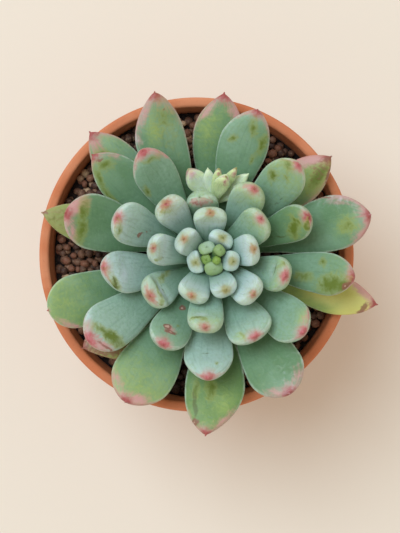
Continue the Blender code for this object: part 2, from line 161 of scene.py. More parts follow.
class Graph:
    """The node tree of one material, with a Principled shader at its end.

    FIRST_COLOUR, SECOND_COLOUR and BLENDED_COLOUR number the Mix node's sockets.
    """

    FIRST_COLOUR = 6
    SECOND_COLOUR = 7
    BLENDED_COLOUR = 2

    def __init__(self, name: str, **fixed: Any) -> None:
        """Start a material.

        Args:
            name: The material's name.
            fixed: Values of the shader's own sockets, with _ for each space in their names.
        """
        self.material = bpy.data.materials.new(name)
        self.material.use_nodes = True
        self.tree = self.material.node_tree
        self.shader = self.tree.nodes["Principled BSDF"]
        for socket, value in fixed.items():
            self.shader.inputs[socket.replace("_", " ")].default_value = value

    def add(self, kind: str, settings: dict[str, Any], values: dict[Any, Any]) -> bpy.types.Node:
        """Add one node.

        Args:
            kind: The node's type.
            settings: Its properties, set first.
            values: Values or links of its sockets, by name or number.

        Returns:
            The new node.
        """
        node = self.tree.nodes.new(kind)
        for setting, value in settings.items():
            setattr(node, setting, value)
        for socket, value in values.items():
            self._feed(node.inputs[socket], value)
        return node

    def _feed(self, socket: bpy.types.NodeSocket, value: Any) -> None:
        """Link a socket, or set its value.

        Args:
            socket: The socket.
            value: What is linked to it, or a colour, vector or number that it is set to.
        """
        source = value.socket if isinstance(value, Value) else value
        if isinstance(source, bpy.types.NodeSocket):
            self.tree.links.new(source, socket)
        elif isinstance(source, tuple) and len(socket.default_value) == 4:
            socket.default_value = (*source, 1.0)
        else:
            socket.default_value = source

    def field(self, name: str) -> Value:
        """A number that the mesh carries on its points."""
        node = self.add("ShaderNodeAttribute", {"attribute_name": name}, {})
        return Value(self, node.outputs["Fac"])

    def place(self) -> bpy.types.NodeSocket:
        """The point's own place on the object."""
        return self.add("ShaderNodeTexCoord", {}, {}).outputs["Object"]

    def cloud(self, size: float, detail: float = 2.0, stretch: Optional[Sequence[float]] = None,
              warp: float = 0.0, place: Optional[bpy.types.NodeSocket] = None) -> Value:
        """Noise from 0 to 1, on the object's own coordinates unless others are given.

        Args:
            size: Size of its patches in millimetres.
            detail: How many finer layers it has.
            stretch: How much finer it runs along each axis.
            warp: How far its patches are pulled about.
            place: Other coordinates, in metres.

        Returns:
            The noise.
        """
        place = self.place() if place is None else place
        if stretch is not None:
            place = self.add("ShaderNodeVectorMath", {"operation": "MULTIPLY"},
                             {0: place, 1: tuple(stretch)}).outputs["Vector"]
        node = self.add("ShaderNodeTexNoise", {"noise_dimensions": "3D"},
                        {"Vector": place, "Scale": 1.0 / (size * MM), "Detail": detail,
                         "Distortion": warp})
        return Value(self, node.outputs[0])

    def blend(self, share: Operand, first: Any, second: Any) -> bpy.types.NodeSocket:
        """Blend two colours.

        Args:
            share: How much of the second shows, from 0 to 1.
            first: The first colour, or a socket that gives it.
            second: The second colour, or a socket that gives it.

        Returns:
            The socket of the blend.
        """
        node = self.add("ShaderNodeMix", {"data_type": "RGBA", "clamp_factor": True},
                        {0: share, self.FIRST_COLOUR: first, self.SECOND_COLOUR: second})
        return node.outputs[self.BLENDED_COLOUR]

    def layers(self, colour: Any, *coats: tuple[Operand, Any]) -> Any:
        """Lay coats over a colour.

        Args:
            colour: The colour under them, or a socket that gives it.
            coats: How much of each coat shows, with its colour, the lowest coat first.

        Returns:
            The socket of the topmost blend.
        """
        for share, coat in coats:
            colour = self.blend(share, colour, coat)
        return colour

    def dress(self, colour: Any, roughness: Optional[Operand] = None,
              relief: Sequence[tuple[Value, float]] = ()) -> bpy.types.Material:
        """Feed the shader and hand over the material.

        Args:
            colour: Socket of the base colour.
            roughness: Roughness over the surface.
            relief: Heights from 0 to 1 with the millimetres that they stand for, finest last.

        Returns:
            The finished material.
        """
        self._feed(self.shader.inputs["Base Color"], colour)
        if roughness is not None:
            self._feed(self.shader.inputs["Roughness"], roughness)
        normal: Optional[bpy.types.NodeSocket] = None
        for height, depth in relief:
            values: dict[str, Any] = {"Strength": 1.0, "Distance": depth * MM, "Height": height}
            if normal is not None:
                values["Normal"] = normal
            normal = self.add("ShaderNodeBump", {}, values).outputs["Normal"]
        if normal is not None:
            self.tree.links.new(normal, self.shader.inputs["Normal"])
        return self.material


@dataclass(frozen=True)
class SkinNodes:
    """What the layers of the leaf skin share: fields of the mesh, and noises laid over them."""

    graph: Graph
    age: Value
    along: Value
    broad: Value
    fine: Value
    breakup: Value
    streaks: Value
    edge: Value


@dataclass(frozen=True)
class LeafSkin:
    """Waxy skin of the leaves, from the fresh green heart to the oldest leaves.

    A pair of ages says between which ages one look gives way to the next. The youngest leaf of
    the heart has age 0 and the oldest leaf 1, and a side shoot's leaves lie below 0. A share
    says how much of a colour shows where it is fullest.
    """

    sprout: Colour = srgb(224, 236, 178)
    heart: Colour = srgb(128, 156, 70)
    young: Colour = srgb(160, 190, 172)
    grown: Colour = srgb(106, 140, 100)
    old: Colour = srgb(106, 138, 82)
    # neck is the deeper green of flecks and streaks, and also the painted shade towards each leaf's
    # foot.
    neck: Colour = srgb(82, 118, 84)
    # wax is the bluish white of the bloom, laid on partly as a painted highlight.
    wax: Colour = srgb(212, 226, 234)
    bloom: Colour = srgb(146, 176, 152)
    # rim is the pale colour of undersides, flecks and margins, and of the painted highlight along
    # the margins.
    rim: Colour = srgb(206, 224, 210)
    olive: Colour = srgb(98, 114, 36)
    moss: Colour = srgb(148, 154, 78)
    yellow: Colour = srgb(168, 184, 96)
    gold: Colour = srgb(212, 206, 116)
    pink: Colour = srgb(202, 146, 142)
    red: Colour = srgb(178, 78, 84)
    crimson: Colour = srgb(156, 66, 62)
    rust: Colour = srgb(186, 110, 82)
    sand: Colour = srgb(148, 144, 78)
    scar: Colour = srgb(138, 84, 70)
    healed: Colour = srgb(214, 178, 160)
    # dark is the painted shade in creases.
    dark: Colour = srgb(84, 88, 44)
    heart_ages: Span = (-0.10, 0.0)
    young_ages: Span = (0.068, 0.088)
    bloom_ages: Span = (0.29, 0.48)
    grown_ages: Span = (0.34, 0.62)
    old_ages: Span = (0.72, 1.0)
    rust_spot_ages: Span = (0.13, 0.17)
    red_spot_ages: Span = (0.19, 0.27)
    pink_halo_ages: Span = (0.24, 0.42)
    crimson_spot_ages: Span = (0.48, 0.60)
    bloom_share: float = 0.75
    underside_share: float = 0.30
    margin_and_highlight_share: float = 0.60
    fleck_share: float = 0.05
    streak_share: float = 0.26
    blush_share: float = 0.92
    red_edge_share: float = 0.30
    halo_share: float = 0.60
    wax_and_highlight_share: float = 0.80
    moss_share: float = 0.55
    olive_share: float = 0.92
    scar_share: float = 0.80
    healed_share: float = 0.75
    crease_shade_share: float = 0.60
    streaks_along: float = 5.0
    streaks_across: float = 9.0
    streaks_by_age: float = 40.0

    def make(self) -> bpy.types.Material:
        """Lay the skin's colours, driven by the fields that each leaf carries.

        Returns:
            The skin as one material.
        """
        graph = Graph("waxy_leaf_skin", IOR=1.4, Subsurface_Weight=0.10,
                      Subsurface_Radius=(0.6, 1.0, 0.4), Subsurface_Scale=0.0025)
        nodes = self._nodes(graph)
        colour = self._marked(nodes, self._blushed(nodes, self._flesh(nodes)))
        relief = ((nodes.broad, 0.3), (nodes.breakup, 0.16), (nodes.fine, 0.08))
        return graph.dress(colour, nodes.fine * 0.12 + 0.42, relief)

    def _nodes(self, graph: Graph) -> SkinNodes:
        """Read the fields and make the noises.

        Args:
            graph: The skin's node tree.

        Returns:
            The nodes that its layers share.
        """
        age, along, across = graph.field("age"), graph.field("along"), graph.field("across")
        breakup = graph.cloud(2.4, 4.0, warp=1.0)
        grown_along = graph.add("ShaderNodeCombineXYZ", {}, {
            "X": along * self.streaks_along * MM, "Y": across * self.streaks_across * MM,
            "Z": age * self.streaks_by_age * MM}).outputs["Vector"]
        return SkinNodes(
            graph=graph, age=age, along=along, breakup=breakup,
            broad=graph.cloud(13.0, 1.5, warp=0.4),
            fine=graph.cloud(1.1, 4.0),
            streaks=graph.cloud(1.0, 3.0, warp=0.3, place=grown_along),
            edge=abs(across).between(0.91, 1.0) * breakup.between(0.30, 0.60, 0.35, 1.0))

    def _flesh(self, nodes: SkinNodes) -> bpy.types.NodeSocket:
        """Green flesh by its age, under bloom and a painted highlight at the crown, with painted
        shade at the neck.

        Args:
            nodes: The shared nodes.

        Returns:
            The colour.
        """
        graph, age, along, fine = nodes.graph, nodes.age, nodes.along, nodes.fine
        bloom = graph.blend(age.between(*self.bloom_ages), self.wax, self.bloom)
        waxy = nodes.broad * 0.75 + fine * 0.25 + graph.field("tone") * 0.2
        # Bloom thickens towards each leaf's end: partly the wax's own, partly a painted highlight
        # on the crown.
        crown = along.between(0.40, 0.85, 0.35, 1.0) * age.between(0.0, 0.12)
        # Painted shade: each leaf darkens towards its foot, where its neighbours shade it.
        neck_shade = along.between(0.15, 0.80, 0.90, 0.0) * age.between(*self.heart_ages, 0.25, 1.0)
        underside = graph.field("upper").between(-0.25, 0.25, 1.0, 0.0)
        return graph.layers(
            self.sprout,
            (age.between(*self.heart_ages), self.heart),
            (age.between(*self.young_ages), self.young),
            (age.between(*self.grown_ages), self.grown),
            (age.between(*self.old_ages), self.old),
            (waxy.between(0.26, 0.74) * crown * self.bloom_share, bloom),
            (neck_shade, self.neck),
            (underside * self.underside_share, self.rim),
            # Pale margins, partly the leaf's own and partly a painted highlight where the edge
            # catches the light.
            (nodes.edge * self.margin_and_highlight_share, self.rim),
            (fine.between(0.30, 0.48, 1.0, 0.0) * self.fleck_share, self.rim),
            (fine.between(0.45, 0.70) * age.between(0.20, 0.60, 0.06, 0.24), self.neck),
            (nodes.streaks.between(0.48, 0.75) * self.streak_share, self.neck))

    def _blushed(self, nodes: SkinNodes, colour: bpy.types.NodeSocket) -> bpy.types.NodeSocket:
        """Yellow, pink and red towards the leaf's end.

        Args:
            nodes: The shared nodes.
            colour: The flesh.

        Returns:
            The colour.
        """
        graph, age, breakup = nodes.graph, nodes.age, nodes.breakup
        speckle = nodes.fine.swing(0.7)
        yellowing = graph.field("glow")
        glow = (yellowing + breakup.swing(0.5) + speckle).between(-0.1, 1.1)
        mottle = breakup.swing(0.9) + nodes.streaks.swing(1.3) + speckle
        blush = (graph.field("blush") + mottle).between(-0.20, 1.15)
        halo = (graph.field("halo") + breakup.swing(0.4)).between(0.05, 0.90)
        halo_colour = graph.blend(age.between(*self.pink_halo_ages), self.sand, self.pink)
        spot = (graph.field("spot") + speckle + breakup.swing(0.5)).between(0.05, 0.75)
        spot_colour = graph.layers(
            self.sand,
            (age.between(*self.rust_spot_ages), self.rust),
            (age.between(*self.red_spot_ages), self.red),
            (age.between(*self.crimson_spot_ages), self.crimson),
            (breakup.between(0.42, 0.62) * age.between(0.30, 0.45, 0.45, 0.0), self.sand))
        return graph.layers(
            colour,
            (glow * age.between(0.15, 0.45, 0.55, 0.85), self.yellow),
            (yellowing.between(0.75, 1.45), self.gold),
            (blush * self.blush_share, self.pink),
            (nodes.edge * blush * self.red_edge_share, self.crimson),
            (halo * self.halo_share, halo_colour),
            (spot * age.between(0.40, 0.60, 0.78, 0.90), spot_colour))

    def _marked(self, nodes: SkinNodes, colour: bpy.types.NodeSocket) -> bpy.types.NodeSocket:
        """Wax with painted highlight, rubbed places, scars and painted crease shade, each by its
        own field.

        Args:
            nodes: The shared nodes.
            colour: The skin so far.

        Returns:
            The colour.
        """
        graph, fine, breakup = nodes.graph, nodes.fine, nodes.breakup
        wax_and_highlight_mask = (graph.field("wax") + breakup.swing(0.8)).between(-0.10, 0.80)
        rub = graph.field("rub") + breakup.swing(1.3) + fine.swing(0.7)
        scar = graph.field("scar") + fine.swing(1.0)
        crease = (graph.field("crease") + fine.swing(0.8)).between(0.0, 0.60)
        return graph.layers(
            colour,
            # Wax bloom, partly real and partly a painted highlight on ridges and margins.
            (wax_and_highlight_mask * self.wax_and_highlight_share, self.wax),
            (rub.between(-0.45, 0.55) * self.moss_share, self.moss),
            (rub.between(0.20, 1.10) * self.olive_share, self.olive),
            (scar.between(0.0, 0.45) * self.scar_share, self.scar),
            (scar.between(0.80, 1.10) * self.healed_share, self.healed),
            # Painted shade in the folds across the leaf's face.
            (crease * self.crease_shade_share, self.dark))


@dataclass(frozen=True)
class Terracotta:
    """Plain fired clay, matte, with a faint pale bloom."""

    clay: Colour = srgb(202, 118, 78)
    pale: Colour = srgb(220, 150, 112)
    deep: Colour = srgb(176, 90, 58)
    bloom_share: float = 0.55
    turning_share: float = 0.25
    pore_share: float = 0.35

    def make(self) -> bpy.types.Material:
        """Lay the pale bloom, the lines of turning and the pores.

        Returns:
            The clay as one material.
        """
        graph = Graph("terracotta", IOR=1.45, Specular_IOR_Level=0.25)
        broad = graph.cloud(16.0, 4.0, warp=0.4)
        lines = graph.cloud(3.0, 2.0, stretch=(0.12, 0.12, 1.0))
        pores = graph.cloud(0.7, 3.0)
        colour = graph.layers(
            self.clay,
            (broad.between(0.35, 0.70) * self.bloom_share, self.pale),
            (lines.between(0.50, 0.75) * self.turning_share, self.deep),
            (pores.between(0.58, 0.80) * self.pore_share, self.deep))
        return graph.dress(colour, broad * 0.1 + 0.78, ((lines, 0.10), (pores, 0.08)))


@dataclass(frozen=True)
class BakedGranule:
    """Baked clay granules, brown, each one a little lighter or redder than the next.

    A pair of tones says between which tones one colour gives way to the next. A granule's tone
    goes from 0 to 1 at random, and painted shade pushes it below 0.
    """

    # The colour of painted shade on granules near the stem and under low leaves.
    painted_shade: Colour = srgb(54, 37, 29)
    dark: Colour = srgb(68, 44, 35)
    brown: Colour = srgb(126, 88, 67)
    red: Colour = srgb(130, 82, 61)
    tan: Colour = srgb(196, 160, 124)
    unshaded_tones: Span = (-0.8, 0.1)
    brown_tones: Span = (0.0, 0.6)
    red_tones: Span = (0.55, 0.8)
    tan_tones: Span = (0.86, 1.0)
    dust_share: float = 0.5

    def make(self) -> bpy.types.Material:
        """Colour each granule by its tone, darkest where shade is painted on it, and dust the
        others.

        Returns:
            The granules as one material.
        """
        graph = Graph("baked_clay_granules", IOR=1.5, Specular_IOR_Level=0.4)
        tone = graph.field("tone")
        skin = graph.cloud(1.0, 4.0)
        unshaded = tone.between(*self.unshaded_tones)
        # Granules in painted shade start from its dark colour.
        colour = graph.layers(
            self.painted_shade,
            (unshaded, self.dark),
            (tone.between(*self.brown_tones), self.brown),
            (tone.between(*self.red_tones), self.red),
            (tone.between(*self.tan_tones), self.tan),
            (skin.between(0.50, 0.80) * unshaded * self.dust_share, self.tan))
        return graph.dress(colour, skin * 0.3 + 0.5, ((skin, 0.25),))


@dataclass(frozen=True)
class DarkSoil:
    """Dark soil under the granules, near black: partly its own colour, partly painted shade in the
    gaps between them.
    """

    # Painted shade: the soil is kept near black where it shows between the granules.
    soil: Colour = srgb(28, 17, 13)
    crumb: Colour = srgb(64, 43, 34)

    def make(self) -> bpy.types.Material:
        """Strew lighter crumbs on dark soil.

        Returns:
            The soil as one material.
        """
        graph = Graph("dark_soil")
        crumbs = graph.cloud(1.6, 5.0)
        colour = graph.blend(crumbs.between(0.45, 0.75), self.soil, self.crumb)
        return graph.dress(colour, crumbs * 0.1 + 0.85, ((crumbs, 0.8),))


@dataclass(frozen=True)
class WoodyStem:
    """Bare stem below the leaves: brown at its foot and green towards the heart."""

    bark: Colour = srgb(134, 108, 78)
    scar: Colour = srgb(92, 70, 48)
    green: Colour = srgb(128, 150, 98)
    green_heights: Span = (90.0, 104.0)
    scar_share: float = 0.6

    def make(self) -> bpy.types.Material:
        """Turn the bark green with height, and ring it with scars.

        Returns:
            The stem as one material.
        """
        graph = Graph("woody_stem", IOR=1.4)
        upward = graph.add("ShaderNodeSeparateXYZ", {}, {0: graph.place()}).outputs["Z"]
        height = Value(graph, upward) * (1.0 / MM)
        rings = graph.cloud(2.0, 3.0, stretch=(0.3, 0.3, 1.4))
        colour = graph.layers(
            self.bark,
            (height.between(*self.green_heights), self.green),
            (rings.between(0.5, 0.7) * self.scar_share, self.scar))
        return graph.dress(colour, rings * 0.1 + 0.6, ((rings, 0.4),))


@dataclass(frozen=True)
class PaleFloor:
    """Plain cream paper under the pot."""

    cream: Colour = srgb(233, 220, 203)
    fibre: Colour = srgb(216, 200, 182)
    fibre_share: float = 0.03

    def make(self) -> bpy.types.Material:
        """Cream with a trace of darker fibre.

        Returns:
            The paper as one material.
        """
        graph = Graph("cream_paper", Specular_IOR_Level=0.0, Roughness=0.9)
        fibres = graph.cloud(2.0, 3.0)
        return graph.dress(graph.blend(fibres * self.fibre_share, self.cream, self.fibre))


class MarkKind(Enum):
    """What a mark on a leaf is: the name of the field that it is written to."""

    # Whitish wax, partly real bloom and partly a painted highlight on ridges.
    WAX_AND_HIGHLIGHT = "wax"
    RUB = "rub"
    GLOW = "glow"
    BLUSH = "blush"
    # A dark line of painted shade along a fold.
    SCAR = "scar"
    CREASE_SHADE = "crease"


@dataclass(frozen=True)
class Mark:
    """One soft oval mark on a leaf's upper face.

    along and aside say where it is, as shares of the leaf's length and half width, with aside
    above 0 on the left of who looks out along the leaf. long and wide are in millimetres, and
    turn is how far its long side leans from the leaf's own direction.
    """

    kind: MarkKind
    along: float
    aside: float
    long: float
    wide: float
    turn: float = 0.0
    strength: float = 1.0


@dataclass(frozen=True)
class Dress:
    """How one leaf is coloured.

    blush, halo and spot say how far from its tip the pink of the margin, the ring round the spot
    and the spot itself reach, in millimetres. glow is how yellow its end half is, tone how much
    wax it bears, and older what its skin's age gains on its place in the spiral.
    """

    blush: Optional[float] = None
    halo: Optional[float] = None
    spot: Optional[float] = None
    glow: float = 0.0
    tone: float = 0.0
    older: float = 0.0
    marks: tuple[Mark, ...] = ()


@dataclass(frozen=True)
class Leaf:
    """One leaf, in millimetres and degrees, seen from the axis that it grows from.

    pointed goes from 0, a round end, to 1. squareness is 2 where its section is an oval.
    upper_share is how much of its thickness lies above its middle line, cup how deep its
    face is dished, and bud says that it is a closed bud of the heart.
    """

    number: int
    azimuth: float
    reach: float
    width: float
    thickness: float
    elevation: float
    curl: float
    base_radius: float
    base_height: float
    neck_width: float
    neck_height: float
    pointed: float = 0.0
    sweep: float = 0.0
    age: float = 0.5
    shoulder: float = 0.0
    squareness: float = 2.0
    upper_share: float = 0.34
    cup: float = 0.0
    widest: float = 0.80
    bud: bool = False
    dress: Dress = Dress()


@dataclass
class Surface:
    """Points, faces and fields of one mesh, in millimetres from the axis that it grows from."""

    points: np.ndarray
    faces: list[tuple[int, ...]]
    fields: dict[str, np.ndarray] = field(default_factory=dict)

    @staticmethod
    def joined(surfaces: Iterable["Surface"]) -> "Surface":
        """Several surfaces as one.

        Args:
            surfaces: The surfaces, which carry the same fields.

        Returns:
            One surface that holds them all.
        """
        parts = list(surfaces)
        faces: list[tuple[int, ...]] = []
        count = 0
        for part in parts:
            faces += [tuple(corner + count for corner in face) for face in part.faces]
            count += len(part.points)
        fields = {name: np.concatenate([part.fields[name] for part in parts])
                  for name in parts[0].fields}
        return Surface(np.concatenate([part.points for part in parts]), faces, fields)

    def moved(self, place: Sequence[float]) -> "Surface":
        """The same surface at another place, in millimetres."""
        return Surface(self.points + np.asarray(place), self.faces, self.fields)

    def piece(self, name: str, finish: bpy.types.Material, node: str,
              slot: str) -> bpy.types.Object:
        """Make the object, dress it, and let it stand for its solid.

        Args:
            name: The object's name.
            finish: Its material.
            node: The solid that it replaces.
            slot: Not used.

        Returns:
            The new object.
        """
        mesh = bpy.data.meshes.new(name)
        mesh.from_pydata((self.points * MM).tolist(), [], self.faces)
        for label, values in self.fields.items():
            carried = mesh.attributes.new(label, "FLOAT", "POINT")
            carried.data.foreach_set("value", np.asarray(values, dtype=np.float32))
        mesh.materials.append(finish)
        mesh.shade_smooth()
        mesh.update()
        made = bpy.data.objects.new(name, mesh)
        bpy.context.scene.collection.objects.link(made)
        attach(made, "root")
        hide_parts(node)
        LOG.info("%s: %d points for %s", name, len(self.points), node)
        return made


def loft(rings: np.ndarray, closed: bool = False) -> list[tuple[int, ...]]:
    """Faces between rings of points, each ring running the same way round.

    Args:
        rings: Array of rings by sides by 3, whose points are numbered in that order.
        closed: Whether the last ring joins the first, as on a hollow wall.

    Returns:
        The faces, with a flat cap on each end where the loft isn't closed.
    """
    count, sides = rings.shape[:2]
    faces: list[tuple[int, ...]] = []
    for ring in range(count if closed else count - 1):
        following = (ring + 1) % count
        for side in range(sides):
            after = (side + 1) % sides
            faces.append((ring * sides + side, ring * sides + after,
                          following * sides + after, following * sides + side))
    if not closed:
        faces.append(tuple(reversed(range(sides))))
        faces.append(tuple(range((count - 1) * sides, count * sides)))
    return faces


@dataclass(frozen=True)
class LeafLoft:
    """Fine form of a leaf: narrow neck, club-shaped blade, and a small hard point at its tip.

    The rings crowd towards the tip. inset keeps the tip that much inside the reach of its solid.
    A Span named swell is a place along the leaf and how far the swell spreads round it, and one
    named ramp is a place and the length over which something comes in. The blush fields say how
    far the pink reaches back in the middle, at the margins, and at those of a pointed leaf, as
    shares of the reach that the leaf's dress states.
    """

    rings: int = 60
    sides: int = 52
    crowding: float = 1.9
    last_station: float = 0.9995
    upright_until: float = 0.15
    width_share: float = 0.965
    inset: float = 0.05
    spine_steps: int = 60
    curl_power: float = 1.3
    curl_start: float = 0.47
    neck_power: float = 1.06
    widest_shift: float = 0.02
    pointed_shift: float = 0.10
    closing: float = 0.43
    pointed_closing: float = 0.35
    thickest: float = 0.82
    depth_closing: float = 0.45
    point_radius: float = 0.55
    point_length: float = 0.7
    bud_point: float = 0.2
    sweep_power: float = 5.0
    trough: float = 0.10
    trough_swell: Span = (0.52, 0.22)
    cup_swell: Span = (0.78, 0.20)
    shoulder_share: float = 0.7
    shoulder_swell: Span = (0.86, 0.06)
    dip_swell: Span = (0.74, 0.07)
    face_power: float = 0.7
    dent_size: float = 7.0
    dent_depth: float = 0.22
    dent_offset: float = 0.35
    dent_steps: tuple[float, float, float] = (13.7, 5.1, 0.0)
    full_dent_thickness: float = 4.0
    least_dented_radius: float = 0.3
    wander: float = 1.1
    wander_size: float = 3.6
    wander_step: float = 3.1
    wander_start: Span = (7.7, 1.3)
    wander_seed: int = 1795815454
    blush_middle: float = 0.34
    blush_margin: float = 0.50
    blush_pointed: float = 0.90
    bud_ramp: Span = (0.55, 0.30)
    glow_ramp: Span = (0.40, 0.55)
    glow_floor: float = 0.2
    marks_down_to: float = -0.1
    field_limit: float = 1.5

    def surface(self, leaf: Leaf) -> Surface:
        """Loft one leaf.

        Args:
            leaf: The leaf's sizes and dress.

        Returns:
            Its surface, with the fields that the skin reads.
        """
        steps = np.linspace(0.0, 1.0, self.rings)
        stations = 1.0 - (1.0 - steps) ** self.crowding
        stations[-1] = self.last_station
        radius, height, slope, length = self._spine(leaf, stations)
        around = math.radians(leaf.azimuth)
        outward = np.array([math.cos(around), math.sin(around), 0.0])
        across = np.array([-math.sin(around), math.cos(around), 0.0])
        upward = np.array([0.0, 0.0, 1.0])

        half_width, depth = self._section(leaf, stations, length)
        lean = slope * smooth(stations / self.upright_until)
        face = -np.sin(lean)[:, None] * outward + np.cos(lean)[:, None] * upward
        aside = leaf.sweep * stations ** self.sweep_power
        centre = radius[:, None] * outward + height[:, None] * upward + aside[:, None] * across

        turns = 2.0 * math.pi * (np.arange(self.sides) + 0.5) / self.sides
        power = 2.0 / leaf.squareness
        cosine = np.sign(np.cos(turns)) * np.abs(np.cos(turns)) ** power
        sine = np.sign(np.sin(turns)) * np.abs(np.sin(turns)) ** power
        share = np.where(sine > 0.0, leaf.upper_share, 1.0 - leaf.upper_share)
        rise = share * sine * depth[:, None]
        rise += self._face_form(leaf, stations, cosine, sine)
        points = (centre[:, None, :]
                  + (half_width[:, None] * cosine)[:, :, None] * across
                  + rise[:, :, None] * face[:, None, :])
        points = self._dented(leaf, points, centre, depth)
        fields = self._fields(leaf, points, stations, half_width, length, cosine, sine)
        return Surface(points.reshape(-1, 3), loft(points),
                       {name: values.ravel() for name, values in fields.items()})

    def _spine(self, leaf: Leaf, stations: np.ndarray) -> tuple[np.ndarray, ...]:
        """The leaf's middle line.

        Args:
            leaf: The leaf.
            stations: Shares of its length.

        Returns:
            Radius, height and slope at the stations, and the whole length.
        """
        marks = np.linspace(0.0, 1.0, self.spine_steps + 1)
        curled = leaf.curl * (marks ** self.curl_power - self.curl_start)
        slopes = np.radians(leaf.elevation + curled)
        middles = 0.5 * (slopes[1:] + slopes[:-1])
        run = np.concatenate([[0.0], np.cumsum(np.cos(middles))]) / self.spine_steps
        rise = np.concatenate([[0.0], np.cumsum(np.sin(middles))]) / self.spine_steps
        length = (leaf.reach - self.inset - leaf.base_radius) / run[-1]
        return (leaf.base_radius + length * np.interp(stations, marks, run),
                leaf.base_height + length * np.interp(stations, marks, rise),
                np.interp(stations, marks, slopes), length)

    def _section(self, leaf: Leaf, stations: np.ndarray,
                 length: float) -> tuple[np.ndarray, np.ndarray]:
        """Half width and thickness along the leaf, with the hard point at its tip.

        Args:
            leaf: The leaf.
            stations: Shares of its length.
            length: Its length in millimetres.

        Returns:
            Half widths and thicknesses in millimetres.
        """
        blade = stations / (1.0 - self.point_length / length)
        widest = leaf.widest + self.widest_shift - self.pointed_shift * leaf.pointed
        width = self._share(blade, widest, leaf.neck_width / leaf.width,
                            self.closing + self.pointed_closing * leaf.pointed)
        depth = self._share(blade, self.thickest, leaf.neck_height / leaf.thickness,
                            self.depth_closing)
        to_tip = np.clip((1.0 - stations) * length, 0.0, None)
        point = self.point_radius * np.sqrt(np.clip(to_tip / (2.0 * self.point_length), 0.0, 1.0))
        point *= self.bud_point if leaf.bud else 1.0
        half_width = 0.5 * leaf.width * self.width_share * width
        return ((half_width ** 3 + point ** 3) ** (1.0 / 3.0),
                ((leaf.thickness * depth) ** 3 + (2.0 * point) ** 3) ** (1.0 / 3.0))

    def _share(self, stations: np.ndarray, widest: float, neck: float,
               closing: float) -> np.ndarray:
        """Share of the full size along the leaf: a neck, then a club that closes in a round end.

        Args:
            stations: Shares of the blade's length.
            widest: Where the size is full.
            neck: The share at the leaf's foot.
            closing: Power that the end closes by, higher for a more pointed end.

        Returns:
            The shares.
        """
        rising = neck + (1.0 - neck) * smooth((stations / widest) ** self.neck_power)
        past = np.clip((stations - widest) / (1.0 - widest), 0.0, 1.0)
        return np.where(stations <= widest, rising, (1.0 - past * past) ** closing)

    def _face_form(self, leaf: Leaf, stations: np.ndarray, cosine: np.ndarray,
                   sine: np.ndarray) -> np.ndarray:
        """What the upper face gains or loses: a shallow trough, and a shoulder before its end.

        Args:
            leaf: The leaf.
            stations: Shares of its length.
            cosine: Sideways share of each side of a ring.
            sine: Upward share of each side of a ring.

        Returns:
            Heights in millimetres, as an array of rings by sides.
        """
        upper = np.clip(sine, 0.0, 1.0) ** self.face_power
        trough = -leaf.thickness * (self.trough * swell(stations, *self.trough_swell)
                                    + leaf.cup * swell(stations, *self.cup_swell))
        shoulder = leaf.shoulder * (self.shoulder_share * swell(stations, *self.shoulder_swell)
                                    - self.shoulder_share * swell(stations, *self.dip_swell))
        return (trough[:, None] * (1.0 - cosine ** 2) + shoulder[:, None]) * upper

    def _dented(self, leaf: Leaf, points: np.ndarray, centre: np.ndarray,
                depth: np.ndarray) -> np.ndarray:
        """The points pushed in and out a little, as a living leaf is never quite even.

        Args:
            leaf: The leaf, whose number picks its own dents.
            points: Points of the rings.
            centre: Middle line.
            depth: Thickness along it.

        Returns:
            The moved points.
        """
        moved = points.copy()
        shift = Vector([step * leaf.number for step in self.dent_steps])
        for ring in range(points.shape[0]):
            amount = self.dent_depth * min(depth[ring] / self.full_dent_thickness, 1.0)
            for corner in range(points.shape[1]):
                place = Vector(points[ring, corner])
                push = noise.noise(place / self.dent_size + shift) - self.dent_offset
                away = place - Vector(centre[ring])
                if away.length > self.least_dented_radius:
                    moved[ring, corner] += np.array(away.normalized()) * push * amount
        return moved

    def _fields(self, leaf: Leaf, points: np.ndarray, stations: np.ndarray,
                half_width: np.ndarray, length: float, cosine: np.ndarray,
                sine: np.ndarray) -> dict[str, np.ndarray]:
        """Numbers that the skin reads at each point.

        Args:
            leaf: The leaf.
            points: Points of its rings.
            stations: Shares of its length.
            half_width: Half widths there.
            length: Its length.
            cosine: Sideways share of each side of a ring.
            sine: Upward share of each side of a ring.

        Returns:
            The fields by name, as arrays of rings by sides.
        """
        whole = np.ones(points.shape[:2])
        along = stations[:, None] * whole
        across = cosine[None, :] * whole
        upper = sine[None, :] * whole
        tip = points[-1].mean(axis=0)
        from_tip = np.linalg.norm(points - tip, axis=2)
        dress = leaf.dress
        pointed = self.blush_pointed * np.clip(leaf.pointed, 0.0, 1.0)
        margin = (self.blush_middle + self.blush_margin * np.abs(across) ** 2
                  + pointed * np.abs(across) ** 10)
        if leaf.bud:
            fade = 1.0 - self._ramp(along, self.bud_ramp)
            across, upper = across * fade, 1.0 - (1.0 - upper) * fade
        fields = {
            "age": (leaf.age + dress.older) * whole,
            "tone": dress.tone * whole,
            "upper": upper,
            "across": across,
            "along": along,
            "glow": dress.glow * self._ramp(along, self.glow_ramp) - self.glow_floor,
            "blush": 1.0 - from_tip / (margin * dress.blush) if dress.blush else -whole,
            "halo": 1.0 - from_tip / dress.halo if dress.halo else -whole,
            "spot": 1.0 - from_tip / dress.spot if dress.spot else -whole,
            **{name: -whole for name in ("wax", "rub", "scar", "crease")},
        }
        stray = self._wandering(leaf, points) if dress.marks else None
        for mark in dress.marks:
            ahead = (along - mark.along) * length + stray[:, :, 0]
            beside = across * half_width[:, None] - mark.aside * half_width.max() + stray[:, :, 1]
            lean = math.radians(mark.turn)
            first = (ahead * math.cos(lean) + beside * math.sin(lean)) / (0.5 * mark.long)
            second = (beside * math.cos(lean) - ahead * math.sin(lean)) / (0.5 * mark.wide)
            oval = mark.strength * (1.0 - np.sqrt(first ** 2 + second ** 2))
